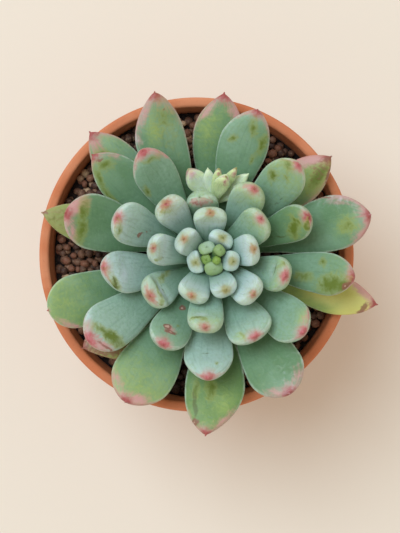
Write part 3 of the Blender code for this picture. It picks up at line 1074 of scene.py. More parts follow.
            oval = np.where(upper > self.marks_down_to, oval, -1.0)
            fields[mark.kind.value] = np.maximum(fields[mark.kind.value], oval)
        return {name: np.clip(values, -self.field_limit, self.field_limit)
                for name, values in fields.items()}

    @staticmethod
    def _ramp(along: np.ndarray, ramp: Span) -> np.ndarray:
        """Ease from 0 to 1 over a ramp along the leaf."""
        return smooth((along - ramp[0]) / ramp[1])

    def _wandering(self, leaf: Leaf, points: np.ndarray) -> np.ndarray:
        """How far the outlines of a leaf's marks stray at each point.

        Blender's clock would place this noise anew in each run, so it gets a seed.

        Args:
            leaf: The leaf, whose number picks its own strays.
            points: Points of its rings.

        Returns:
            Strays along and aside in millimetres, as an array of rings by sides by 2.
        """
        noise.seed_set(self.wander_seed)
        shift = Vector((self.wander_step * leaf.number, *self.wander_start))
        strays = [noise.noise_vector(Vector(point) / self.wander_size + shift)[:2]
                  for point in points.reshape(-1, 3)]
        return self.wander * np.array(strays).reshape(*points.shape[:2], 2)


@dataclass(frozen=True)
class Habit:
    """How one leaf differs from the rule: turn and lift in degrees, sizes in millimetres.

    sweep is how far its tip is drawn aside, anticlockwise, sharper is added to its share of a
    pointed end, and shoulder is the height of a fold across its face.
    """

    turn: float = 0.0
    longer: float = 0.0
    wider: float = 0.0
    thicker: float = 0.0
    lift: float = 0.0
    sweep: float = 0.0
    sharper: float = 0.0
    shoulder: float = 0.0


@dataclass(frozen=True)
class Spiral:
    """The rule by which the rosette grows, youngest leaf first.

    The leaves below bud_leaves are the heart's buds, those below heart_leaves are fused to the
    stem, and those below dished_leaves are square and, but for the buds, dished. Each row of
    tip_reaches holds for the leaves below its first number: how far the pink, the ring round
    the spot and the spot reach from the tip.
    """

    leaf_count: int = 57
    bud_leaves: int = 5
    heart_leaves: int = 17
    dished_leaves: int = 21
    full_age: float = 50.0
    first_azimuth: float = 312.0
    divergence: float = 138.0
    stem_radius: float = 4.9
    innermost_radius: float = 0.6
    heart_spread: float = 2.4
    top_height: float = 24.0
    zone: float = 28.0
    zone_end: float = 62.0
    zone_power: float = 1.2
    first_reach: float = 1.5
    reach_step: float = 1.38
    longest_reach: float = 58.0
    first_width: float = 3.0
    width_gain: float = 16.0
    full_width_age: float = 0.8
    width_power: float = 0.8
    first_thickness: float = 2.4
    thickness_gain: float = 4.4
    thick_from: float = 18.0
    thickness_power: float = 0.7
    thickness_loss: float = 1.6
    thinner_from: float = 30.0
    thinner_over: float = 26.0
    youngest_stands_at: float = 78.0
    oldest_lies_at: float = 10.0
    fall_power: float = 0.72
    least_curl: float = 10.0
    curl_gain: float = 32.0
    curl_pace: float = 1.1
    neck_width: float = 3.2
    neck_height: float = 2.2
    heart_neck_width: float = 0.55
    heart_neck_height: float = 0.6
    pointed_from: float = 18.0
    pointed_over: float = 18.0
    young_pointed: float = 0.32
    young_pointed_until: int = 20
    dish: float = 0.07
    square_section: float = 2.6
    oval_section: float = 2.1
    upper_share: float = 0.34
    bud_upper_share: float = 0.5
    tip_reaches: tuple[tuple[int, float, float, float], ...] = (
        (5, 0.0, 0.0, 0.0), (17, 0.0, 4.6, 2.7), (30, 4.5, 5.2, 3.2), (57, 11.5, 5.5, 3.9))
    dropped: tuple[int, ...] = (39, 41, 44, 45, 47, 50, 51, 54, 55)

    def leaf(self, number: int) -> Leaf:
        """Sizes of one leaf by the rule and its own habit.

        Args:
            number: Its place in the spiral, 0 in the heart.

        Returns:
            The leaf, with its dress.
        """
        age = min(number / self.full_age, 1.0)
        climb = (1.0 - number / self.zone_end) ** self.zone_power
        thickening = min(number / self.thick_from, 1.0) ** self.thickness_power
        thinning = float(smooth((number - self.thinner_from) / self.thinner_over))
        fall = self.youngest_stands_at - self.oldest_lies_at
        habit = HABITS.get(number, Habit())
        widening = min(age / self.full_width_age, 1.0) ** self.width_power
        width = self.first_width + self.width_gain * widening + habit.wider
        thickness = (self.first_thickness + self.thickness_gain * thickening
                     - self.thickness_loss * thinning + habit.thicker)
        reach = min(self.first_reach + self.reach_step * number, self.longest_reach)
        curled = min(age * self.curl_pace, 1.0)
        bud, dished = number < self.bud_leaves, number < self.dished_leaves
        leaf = Leaf(
            number=number,
            azimuth=(self.first_azimuth - self.divergence * number + habit.turn) % 360.0,
            reach=reach + habit.longer,
            width=width,
            thickness=thickness,
            elevation=self.youngest_stands_at - fall * age ** self.fall_power + habit.lift,
            curl=self.least_curl + self.curl_gain * math.sin(math.pi * curled),
            base_radius=self.stem_radius,
            base_height=self.top_height - self.zone * (1.0 - climb),
            neck_width=self.neck_width,
            neck_height=self.neck_height,
            pointed=self._pointed(number) + habit.sharper,
            sweep=habit.sweep,
            age=number / self.leaf_count,
            shoulder=habit.shoulder,
            squareness=self.square_section if dished else self.oval_section,
            upper_share=self.bud_upper_share if bud else self.upper_share,
            cup=self.dish if dished and not bud else 0.0,
            bud=bud,
            dress=self._dress(number),
        )
        if number < self.heart_leaves:
            spread = self.heart_spread * number / self.heart_leaves
            leaf = replace(leaf, base_radius=self.innermost_radius + spread,
                           neck_width=self.heart_neck_width * width,
                           neck_height=self.heart_neck_height * thickness)
        return leaf

    def _pointed(self, number: int) -> float:
        """Share of a pointed end that the rule gives.

        Args:
            number: The leaf's place in the spiral.

        Returns:
            From 0, round, to 1, pointed.
        """
        share = float(smooth((number - self.pointed_from) / self.pointed_over))
        young = self.bud_leaves <= number < self.young_pointed_until
        return max(share, self.young_pointed) if young else share

    def _dress(self, number: int) -> Dress:
        """Colours of one leaf: its own marks, and reaches by its age where it states none.

        Args:
            number: The leaf's place in the spiral.

        Returns:
            The dress, with every reach filled in.
        """
        own = DRESSES.get(number, Dress())
        row = next(row for row in self.tip_reaches if number < row[0])
        reaches = dict(zip(("blush", "halo", "spot"), row[1:]))
        return replace(own, **{name: reach for name, reach in reaches.items()
                               if getattr(own, name) is None})

    def numbers(self) -> list[int]:
        """Numbers of the leaves that are still on the plant."""
        return [number for number in range(self.leaf_count) if number not in self.dropped]


# How each leaf departs from the rule, by its place in the spiral.
HABITS = {
    0: Habit(turn=20, longer=1.0, thicker=0.4),
    1: Habit(turn=28, longer=-1.0, thicker=0.8),
    2: Habit(turn=3, wider=-0.3, thicker=0.3),
    3: Habit(turn=28, longer=-1.5, wider=1.5, thicker=1.4),
    4: Habit(turn=-8, longer=-3.0, wider=0.4, thicker=0.6),
    5: Habit(turn=8, longer=-1.0, wider=1.1, thicker=0.8),
    6: Habit(turn=-6, longer=-4.4, wider=1.6, thicker=1.2),
    7: Habit(turn=-6, longer=-3.5, wider=2.0, thicker=0.5),
    8: Habit(turn=6, longer=-0.8, wider=2.0, thicker=0.6),
    9: Habit(turn=-4, longer=-3.0, wider=2.0, thicker=0.4),
    10: Habit(turn=-1, longer=-1.0, wider=3.0),
    11: Habit(turn=9, longer=-2.5, wider=2.5),
    12: Habit(turn=-5, longer=-3.3, wider=2.5),
    13: Habit(turn=1, longer=-1.0, wider=2.0),
    14: Habit(turn=-9, longer=-1.5, wider=1.0),
    15: Habit(turn=-7.2, longer=-1.5, wider=2.4, sweep=1.2),
    16: Habit(turn=1, longer=-0.5, wider=2.0, shoulder=0.14),
    17: Habit(turn=4, longer=-1.8, wider=0.5),
    18: Habit(turn=-2, longer=-1.0, wider=1.0, shoulder=0.16),
    19: Habit(turn=2, longer=-3.8, wider=1.0, shoulder=0.6),
    20: Habit(turn=-14, longer=-2.3, wider=0.2, sharper=0.6),
    21: Habit(turn=5, longer=-0.5, wider=4.0),
    22: Habit(turn=1, longer=1.7, wider=2.0),
    23: Habit(turn=4.5, longer=1.5, wider=-0.5, lift=-1),
    24: Habit(turn=1, longer=-1.7, wider=1.0),
    25: Habit(turn=-4, longer=-15.3, wider=-2.6, lift=9, sweep=1.0),
    26: Habit(turn=-3, longer=2.0, wider=2.0),
    27: Habit(turn=5, longer=-3.0, wider=0.5, sweep=-3.6, shoulder=0.25),
    28: Habit(turn=-1.2, longer=2.0, wider=0.5),
    29: Habit(turn=-1.2, longer=-1.3, wider=2.0, shoulder=0.2),
    30: Habit(turn=-8.2, longer=-0.7, wider=-0.8, sweep=-0.8),
    31: Habit(turn=-2, longer=3.5, wider=-1.0, sharper=-0.3),
    32: Habit(turn=-2, longer=3.5, wider=1.5, sharper=-0.6),
    33: Habit(turn=-3.8, longer=5.2, wider=1.0, lift=-8, sweep=-1.7),
    34: Habit(longer=4.0, wider=3.5, sharper=-0.6),
    35: Habit(turn=1, longer=1.0, wider=2.5, sharper=-0.6),
    36: Habit(turn=-8, longer=4.0, wider=2.0, sweep=-1.0, sharper=-0.2),
    37: Habit(turn=-5.4, longer=3.6, wider=4.0, sweep=-1.2, sharper=-0.6),
    38: Habit(turn=6.2, longer=4.9, lift=-5, sweep=-5.8),
    40: Habit(turn=6, longer=1.0, sharper=-0.8),
    42: Habit(turn=-3, longer=2.0, wider=2.5, sweep=-5.0),
    43: Habit(turn=1, longer=-4.5, wider=-2.5),
    46: Habit(turn=3, longer=-1.0, wider=-1.0, lift=-3, sweep=-1.8),
    48: Habit(turn=-3, longer=2.0, wider=-5.0),
    49: Habit(turn=10, longer=-3.5, wider=-3.5),
    52: Habit(turn=7.2, longer=1.9, wider=-4.5, sweep=1.2),
    53: Habit(turn=28, longer=-4.5, wider=1.5, sweep=-10.5),
    56: Habit(turn=-9, longer=2.5, wider=-2.5, sweep=-1.3),
}

RUB, GLOW, BLUSH = MarkKind.RUB, MarkKind.GLOW, MarkKind.BLUSH
SCAR, CREASE_SHADE, WAX_AND_HIGHLIGHT = MarkKind.SCAR, MarkKind.CREASE_SHADE, MarkKind.WAX_AND_HIGHLIGHT

# What each leaf's colours and marks are, by its place in the spiral.
DRESSES = {
    5: Dress(tone=0.4, glow=0.1),
    6: Dress(tone=0.6),
    7: Dress(glow=0.2),
    8: Dress(tone=0.6),
    9: Dress(tone=0.6, glow=0.5),
    10: Dress(tone=0.9, glow=0.5),
    11: Dress(tone=0.7, glow=0.55),
    12: Dress(tone=0.1, glow=0.7),
    13: Dress(tone=0.9, glow=0.55),
    14: Dress(tone=0.4, glow=0.4, marks=(
        Mark(RUB, 0.90, 0.8, 4.0, 2.0, 40.0, 0.8),
        Mark(CREASE_SHADE, 0.80, 0.5, 3.0, 0.8, -20.0, 0.8))),
    15: Dress(tone=-1.5, older=0.17, glow=0.6, marks=(Mark(GLOW, 0.90, 0.3, 8.0, 4.0, 80.0, 0.6),)),
    16: Dress(tone=-1.6, older=0.07, glow=0.6, marks=(
        Mark(WAX_AND_HIGHLIGHT, 0.80, -0.2, 9.0, 3.4, 88.0, 0.3),
        Mark(RUB, 0.87, -0.5, 7.0, 1.6, 80.0, 0.9),
        Mark(CREASE_SHADE, 0.86, -0.45, 6.5, 0.8, 82.0, 1.2),
        Mark(RUB, 0.91, -0.1, 4.0, 1.4, 60.0, 0.7))),
    17: Dress(tone=1.0, glow=0.7, marks=(Mark(RUB, 0.93, 0.4, 4.5, 2.2, 60.0, 0.5),)),
    18: Dress(tone=-1.7, older=0.11, glow=0.6, marks=(
        Mark(WAX_AND_HIGHLIGHT, 0.78, 0.0, 9.0, 3.8, 85.0, 0.3),
        Mark(CREASE_SHADE, 0.83, 0.2, 7.5, 0.9, 85.0, 1.2),
        Mark(RUB, 0.90, 0.6, 4.5, 2.0, 60.0, 0.6))),
    19: Dress(tone=-0.6, glow=0.6, marks=(
        Mark(WAX_AND_HIGHLIGHT, 0.79, 0.1, 11.0, 3.8, 76.0, 0.8),
        Mark(CREASE_SHADE, 0.71, 0.0, 9.0, 0.9, 70.0, 1.0),
        Mark(RUB, 0.88, 0.2, 9.0, 1.4, 70.0, 0.9),
        Mark(RUB, 0.92, 0.8, 5.0, 2.0, 60.0, 0.9),
        Mark(RUB, 0.58, -0.5, 9.0, 2.4, 10.0, 0.8),
        # A dark red-brown patch near the leaf's foot, where a dark hole shows between the leaves.
        Mark(SCAR, 0.25, -0.7, 5.0, 2.4, 20.0, 1.2))),
    20: Dress(tone=-0.5, older=0.03, glow=0.75, blush=3.5),
    21: Dress(tone=0.0, older=0.05, glow=0.35, marks=(
        Mark(GLOW, 0.92, -0.5, 10.0, 6.0, 60.0, 0.6),
        Mark(RUB, 0.91, -0.4, 2.6, 1.6, 40.0, 0.9))),
    22: Dress(tone=0.6, glow=0.25, marks=(
        Mark(RUB, 0.93, 0.55, 8.0, 2.8, -60.0, 1.0),
        Mark(SCAR, 0.67, 0.30, 3.8, 2.0, 30.0, 1.15),
        Mark(SCAR, 0.58, 0.10, 9.0, 1.1, 33.0, 0.45))),
    23: Dress(tone=-1.0, older=0.22, glow=0.4, marks=(
        Mark(RUB, 0.80, -0.28, 9.0, 5.4, 20.0, 1.6),
        Mark(RUB, 0.87, 0.05, 7.0, 2.4, -50.0, 1.2),
        Mark(RUB, 0.95, -0.45, 6.0, 2.6, 60.0, 1.4),
        Mark(CREASE_SHADE, 0.60, -0.4, 14.0, 0.9, -12.0, 0.8),
        Mark(CREASE_SHADE, 0.52, 0.1, 7.0, 0.7, -20.0, 0.6))),
    24: Dress(tone=-0.4, older=0.08, glow=0.25, marks=(
        Mark(SCAR, 0.84, 0.02, 4.8, 2.2, -70.0, 1.2),
        Mark(SCAR, 0.80, -0.24, 4.0, 2.8, -50.0, 1.8),
        Mark(BLUSH, 0.81, -0.05, 5.0, 4.4, 0.0, 1.2),
        Mark(SCAR, 0.47, 0.05, 3.2, 2.6, 0.0, 1.6),
        Mark(RUB, 0.70, 0.2, 1.6, 1.2, 0.0, 0.9))),
    25: Dress(tone=-1.0, glow=0.5, blush=0.0, spot=0.0, halo=0.0, marks=(
        Mark(BLUSH, 0.90, 0.1, 12.0, 5.0, 80.0, 0.9),
        Mark(SCAR, 0.90, 0.2, 9.0, 3.0, 80.0, 0.28))),
    26: Dress(tone=-0.2, older=0.03, glow=0.3, marks=(
        Mark(BLUSH, 0.90, 0.7, 8.0, 3.0, -55.0, 0.8),
        Mark(GLOW, 0.90, 0.5, 12.0, 6.0, -50.0, 0.7))),
    27: Dress(tone=0.9, older=-0.10, glow=0.25, marks=(
        Mark(WAX_AND_HIGHLIGHT, 0.80, 0.2, 9.0, 5.0, 75.0, 0.7),
        Mark(RUB, 0.90, 0.62, 10.0, 2.8, -57.0, 1.1),
        Mark(CREASE_SHADE, 0.90, 0.62, 8.0, 0.9, -57.0, 1.0))),
    28: Dress(tone=-0.2, glow=0.6, marks=(
        Mark(RUB, 0.77, 0.53, 6.5, 4.0, 20.0, 1.2),
        Mark(RUB, 0.93, 0.35, 6.0, 3.4, -60.0, 1.1),
        Mark(RUB, 0.86, 0.0, 5.0, 2.0, 40.0, 0.7),
        Mark(CREASE_SHADE, 0.64, -0.5, 10.0, 0.9, 0.0, 0.8))),
    29: Dress(tone=0.5, older=-0.11, glow=0.25, spot=3.6, halo=5.5, marks=(
        Mark(RUB, 0.86, 0.3, 2.0, 1.4, 0.0, 0.9),
        Mark(CREASE_SHADE, 0.76, 0.0, 9.0, 0.7, 88.0, 0.5))),
    30: Dress(tone=0.5, glow=0.15, blush=9.0, marks=(
        Mark(BLUSH, 0.88, -0.70, 14.0, 3.4, 35.0, 1.0),
        Mark(RUB, 0.90, -0.15, 9.0, 2.4, 70.0, 1.0),
        Mark(RUB, 0.65, 0.74, 5.0, 2.2, 0.0, 1.1))),
    31: Dress(tone=-0.5, glow=0.35, blush=8.0, marks=(
        Mark(RUB, 0.85, -0.42, 16.0, 8.4, 12.0, 1.4),
        Mark(RUB, 0.93, -0.42, 7.0, 3.6, 45.0, 1.4),
        Mark(RUB, 0.74, 0.54, 4.0, 2.8, 0.0, 1.1),
        Mark(RUB, 0.60, -0.30, 9.0, 3.2, 0.0, 0.9),
        Mark(SCAR, 0.95, -0.40, 6.0, 1.4, 50.0, 0.9))),
    32: Dress(tone=1.5, older=-0.13, glow=0.2, spot=4.6, marks=(
        Mark(WAX_AND_HIGHLIGHT, 0.88, -0.80, 11.0, 4.0, 46.0, 0.35),
        Mark(RUB, 0.84, 0.38, 17.0, 4.6, -60.0, 1.4),
        Mark(BLUSH, 0.92, 0.50, 12.0, 4.6, -57.0, 1.2),
        Mark(BLUSH, 0.94, -0.45, 8.0, 4.4, 55.0, 0.8),
        Mark(SCAR, 0.91, 0.62, 9.0, 1.3, -57.0, 0.9))),
    33: Dress(tone=0.2, glow=0.25, blush=8.0, marks=(
        Mark(RUB, 0.87, -0.16, 8.0, 3.6, 25.0, 1.3),
        Mark(RUB, 0.76, -0.68, 9.0, 3.6, 6.0, 1.3),
        Mark(RUB, 0.64, -0.52, 5.0, 2.4, 0.0, 1.0),
        Mark(RUB, 0.76, 0.52, 3.4, 2.6, 0.0, 1.0),
        Mark(CREASE_SHADE, 0.55, -0.1, 12.0, 0.8, 5.0, 0.5))),
    34: Dress(tone=-0.8, glow=0.25, marks=(
        Mark(BLUSH, 0.92, 0.60, 14.0, 6.0, -55.0, 0.9),
        Mark(BLUSH, 0.95, -0.35, 9.0, 4.0, 60.0, 0.8),
        Mark(WAX_AND_HIGHLIGHT, 0.89, 0.45, 14.0, 6.0, -55.0, 0.06))),
    35: Dress(tone=-1.0, older=0.04, glow=0.1, marks=(
        Mark(RUB, 0.885, -0.30, 10.0, 4.4, 88.0, 1.2),
        Mark(RUB, 0.85, 0.40, 11.0, 4.2, -72.0, 1.25),
        Mark(BLUSH, 0.93, -0.40, 14.0, 6.5, 55.0, 1.4),
        Mark(BLUSH, 0.90, 0.60, 10.0, 3.6, -50.0, 0.9))),
    36: Dress(tone=-0.4, glow=0.25, blush=13.0, marks=(
        Mark(RUB, 0.84, -0.2, 6.5, 5.0, 0.0, 0.9),
        Mark(BLUSH, 0.85, 0.82, 22.0, 6.0, -22.0, 1.0),
        Mark(WAX_AND_HIGHLIGHT, 0.84, 0.78, 20.0, 6.0, -22.0, 0.15),
        Mark(BLUSH, 0.90, -0.6, 12.0, 4.0, 36.0, 0.9),
        Mark(SCAR, 0.73, 0.97, 9.0, 0.9, -5.0, 0.6),
        Mark(GLOW, 0.84, -0.2, 14.0, 11.0, 0.0, 0.6))),
    37: Dress(glow=0.75, blush=12.0, marks=(
        Mark(GLOW, 0.80, 0.0, 20.0, 16.0, 0.0, 0.5),
        Mark(BLUSH, 0.95, 0.35, 16.0, 6.0, -68.0, 1.1),
        Mark(BLUSH, 0.90, -0.65, 12.0, 3.4, 45.0, 0.9))),
    38: Dress(tone=-0.2, glow=0.25, blush=17.0, spot=5.0, marks=(
        Mark(BLUSH, 0.84, 0.84, 18.0, 5.0, -18.0, 1.1),
        Mark(BLUSH, 0.92, 0.40, 10.0, 4.5, -40.0, 1.0),
        Mark(WAX_AND_HIGHLIGHT, 0.80, 0.92, 22.0, 2.6, -12.0, 0.15),
        Mark(GLOW, 0.78, 0.2, 18.0, 9.0, 0.0, 0.7),
        Mark(SCAR, 0.88, -0.36, 1.8, 1.4, 0.0, 0.5),
        Mark(RUB, 0.80, -0.3, 14.0, 6.0, 5.0, 0.4))),
    40: Dress(tone=-0.6, glow=0.65, blush=0.0, halo=1.8, spot=1.0, marks=(
        Mark(GLOW, 0.88, 0.0, 18.0, 14.0, 60.0, 0.6),
        Mark(BLUSH, 0.88, 0.80, 16.0, 3.0, -35.0, 1.0))),
    42: Dress(tone=-1.5, older=0.28, glow=0.5, blush=9.0, marks=(
        Mark(GLOW, 0.82, 0.35, 18.0, 12.0, 20.0, 0.6),
        Mark(RUB, 0.72, -0.12, 9.0, 4.2, 8.0, 1.3),
        Mark(RUB, 0.71, -0.62, 9.0, 2.6, 0.0, 1.1),
        Mark(CREASE_SHADE, 0.80, -0.58, 14.0, 1.5, 14.0, 1.2),
        Mark(SCAR, 0.92, -0.48, 3.8, 2.6, 0.0, 1.2),
        Mark(BLUSH, 0.92, 0.45, 12.0, 4.6, -38.0, 0.9))),
    43: Dress(glow=0.25, blush=6.0, marks=(
        Mark(RUB, 0.89, 0.0, 7.0, 5.0, 60.0, 1.1),
        Mark(RUB, 0.84, 0.60, 11.0, 2.6, -24.0, 1.05),
        Mark(RUB, 0.74, 0.78, 12.0, 2.2, -8.0, 1.0),
        Mark(BLUSH, 0.88, -0.60, 10.0, 2.4, 36.0, 0.8),
        Mark(SCAR, 0.94, -0.05, 4.0, 1.5, 80.0, 0.8))),
    46: Dress(tone=-1.0, glow=0.4, blush=16.0, spot=5.6, marks=(
        Mark(GLOW, 0.78, 0.4, 26.0, 14.0, 0.0, 0.55),
        Mark(BLUSH, 0.85, -0.62, 20.0, 5.5, 24.0, 1.2),
        Mark(BLUSH, 0.88, 0.58, 15.0, 4.0, -30.0, 0.9))),
    48: Dress(tone=-0.8, glow=0.9, blush=5.0, halo=2.6, spot=0.0, marks=(
        Mark(RUB, 0.86, 0.05, 34.0, 22.0, 0.0, 0.55),
        Mark(BLUSH, 0.86, 0.0, 34.0, 22.0, 0.0, 0.40),
        Mark(BLUSH, 0.90, -0.75, 11.0, 2.8, 40.0, 1.0),
        Mark(SCAR, 0.98, 0.0, 3.0, 2.0, 0.0, 0.7))),
    49: Dress(tone=-0.2, glow=1.0, blush=24.0, spot=5.5, marks=(
        Mark(RUB, 0.85, -0.35, 14.0, 6.0, 12.0, 1.4),
        Mark(SCAR, 0.90, -0.10, 14.0, 8.0, 0.0, 0.22),
        Mark(RUB, 0.70, 0.2, 10.0, 2.4, -8.0, 0.8),
        Mark(SCAR, 0.92, -0.50, 12.0, 1.8, 34.0, 1.1),
        Mark(SCAR, 0.99, 0.0, 6.0, 4.0, 0.0, 0.7),
        Mark(BLUSH, 0.88, 0.55, 20.0, 7.0, -24.0, 1.5))),
    52: Dress(tone=-1.0, glow=1.9, blush=8.0, marks=(
        Mark(GLOW, 0.70, 0.0, 46.0, 22.0, 0.0, 1.7),
        Mark(BLUSH, 0.88, 0.62, 22.0, 6.0, -26.0, 1.4),
        Mark(SCAR, 0.92, -0.35, 6.0, 2.6, 60.0, 1.0))),
    53: Dress(tone=-1.0, glow=1.0, blush=9.0, marks=(
        Mark(RUB, 0.78, 0.2, 18.0, 12.0, 0.0, 1.3),
        Mark(SCAR, 0.90, 0.2, 22.0, 16.0, 0.0, 0.42),
        Mark(SCAR, 0.86, 0.7, 16.0, 1.8, -14.0, 1.1),
        Mark(SCAR, 0.86, 0.1, 14.0, 1.4, 4.0, 0.8),
        Mark(BLUSH, 0.90, 0.2, 16.0, 8.0, 0.0, 0.6))),
    56: Dress(tone=0.3, older=-0.35, glow=0.55, spot=5.0, marks=(
        Mark(BLUSH, 0.92, 0.2, 10.0, 7.0, 0.0, 1.0),
        Mark(BLUSH, 0.80, 0.80, 14.0, 3.2, -12.0, 0.9),
        Mark(GLOW, 0.80, 0.4, 12.0, 7.0, 0.0, 0.9),
        Mark(RUB, 0.83, 0.1, 8.0, 4.6, 20.0, 1.2))),
}


@dataclass(frozen=True)
class Pot:
    """The terracotta pot, turned from the sizes of its solid.

    edge_rounding rounds the lower edge of the rim band, under_band is how far the wall draws in
    below it, and edge_points is how many points each rounded corner has.
    """

    rim_band: float = 22.0
    rim_rounding: float = 1.2
    rim_wall: float = 3.5
    band_taper: float = 0.9
    body_top_radius: float = 50.6
    base_radius: float = 38.0
    wall: float = 3.6
    rim_wall_height: float = 14.0
    rim_inner_taper: float = 1.1
    floor_thickness: float = 7.0
    inner_floor_radius: float = 33.0
    foot_ring_width: float = 7.0
    foot_recess: float = 1.0
    drain_radius: float = 5.5
    inner_chamfer: float = 2.0
    edge_rounding: float = 0.8
    under_band: float = 0.1
    foot_from: float = -10.0
    edge_points: int = 6
    sides: int = 180

    def box(self) -> tuple[np.ndarray, np.ndarray]:
        """Lowest and highest corner of the solid, in millimetres."""
        low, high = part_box("pot")
        return np.array(low) / MM, np.array(high) / MM

    def axis(self) -> np.ndarray:
        """The foot of the pot's axis, in millimetres."""
        low, high = self.box()
        return np.array([(low[0] + high[0]) / 2.0, (low[1] + high[1]) / 2.0, 0.0])

    def height(self) -> float:
        """Height of the rim, in millimetres."""
        return float(self.box()[1][2])

    def rim_radius(self) -> float:
        """Radius of the rim, in millimetres."""
        low, high = self.box()
        return float(high[0] - low[0]) / 2.0

    def inner_wall(self) -> Outline:
        """Inside of the pot, from its floor up to under the rim.

        Returns:
            Its points as (radius, height).
        """
        top = self.height()
        inner = self.rim_radius() - self.rim_wall
        return [
            (self.inner_floor_radius, self.floor_thickness),
            (self.inner_floor_radius + self.inner_chamfer,
             self.floor_thickness + self.inner_chamfer),
            (self.body_top_radius - self.wall, top - self.rim_band),
            (inner - self.rim_inner_taper, top - self.rim_wall_height),
            (inner, top - self.rim_rounding),
        ]

    def _rounded(self, corner: Span, radius: float, start: float, end: float) -> Outline:
        """Points of an arc of the profile.

        Args:
            corner: Centre of the arc, as (radius, height).
            radius: Its radius.
            start: The angle that it starts at, from the outward direction up.
            end: The angle that it ends at.

        Returns:
            Its points as (radius, height).
        """
        angles = np.radians(np.linspace(start, end, self.edge_points))
        return [(corner[0] + radius * math.cos(angle), corner[1] + radius * math.sin(angle))
                for angle in angles]

    def profile(self) -> Outline:
        """The wall's whole outline, down outside and back up inside.

        Returns:
            Its points as (radius, height).
        """
        top, rim = self.height(), self.rim_radius()
        band, edge, under = top - self.rim_band, self.rim_rounding, self.edge_rounding
        inner = rim - self.rim_wall
        foot = self.base_radius - self.foot_ring_width
        outline = self._rounded((inner + edge, top - edge), edge, 180.0, 90.0)
        outline += self._rounded((rim - edge, top - edge), edge, 90.0, 0.0)
        outline += self._rounded((rim - self.band_taper - under, band + under), under, 0.0, -90.0)
        outline += [(self.body_top_radius, band),
                    (self.body_top_radius - self.under_band, band - under)]
        outline += self._rounded((self.base_radius - edge, edge), edge, self.foot_from, -90.0)
        outline += [(foot, 0.0), (foot - self.foot_recess, self.foot_recess)]
        outline += [(self.drain_radius, self.foot_recess),
                    (self.drain_radius, self.floor_thickness)]
        return outline + self.inner_wall()[:-1]

    def build(self, finish: bpy.types.Material) -> bpy.types.Object:
        """Turn the pot and dress it.

        Args:
            finish: Finish of the clay.

        Returns:
            The piece.
        """
        surface = turned(self.profile(), self.sides, closed=True).moved(self.axis())
        return surface.piece("terracotta_pot", finish, "pot", "terracotta")


def turned(profile: Outline, sides: int, closed: bool) -> Surface:
    """Turn a profile round the upright axis.

    Args:
        profile: Its points as (radius, height).
        sides: Sides of the round.
        closed: Whether the profile closes on itself, as a hollow wall's does.

    Returns:
        The turned surface.
    """
    turns = 2.0 * math.pi * np.arange(sides) / sides
    outline = np.array(profile)
    rings = np.stack([outline[:, :1] * np.cos(turns), outline[:, :1] * np.sin(turns),
                      outline[:, 1:] * np.ones(sides)], axis=2)
    faces = [tuple(reversed(face)) for face in loft(rings, closed)]
    return Surface(rings.reshape(-1, 3), faces)


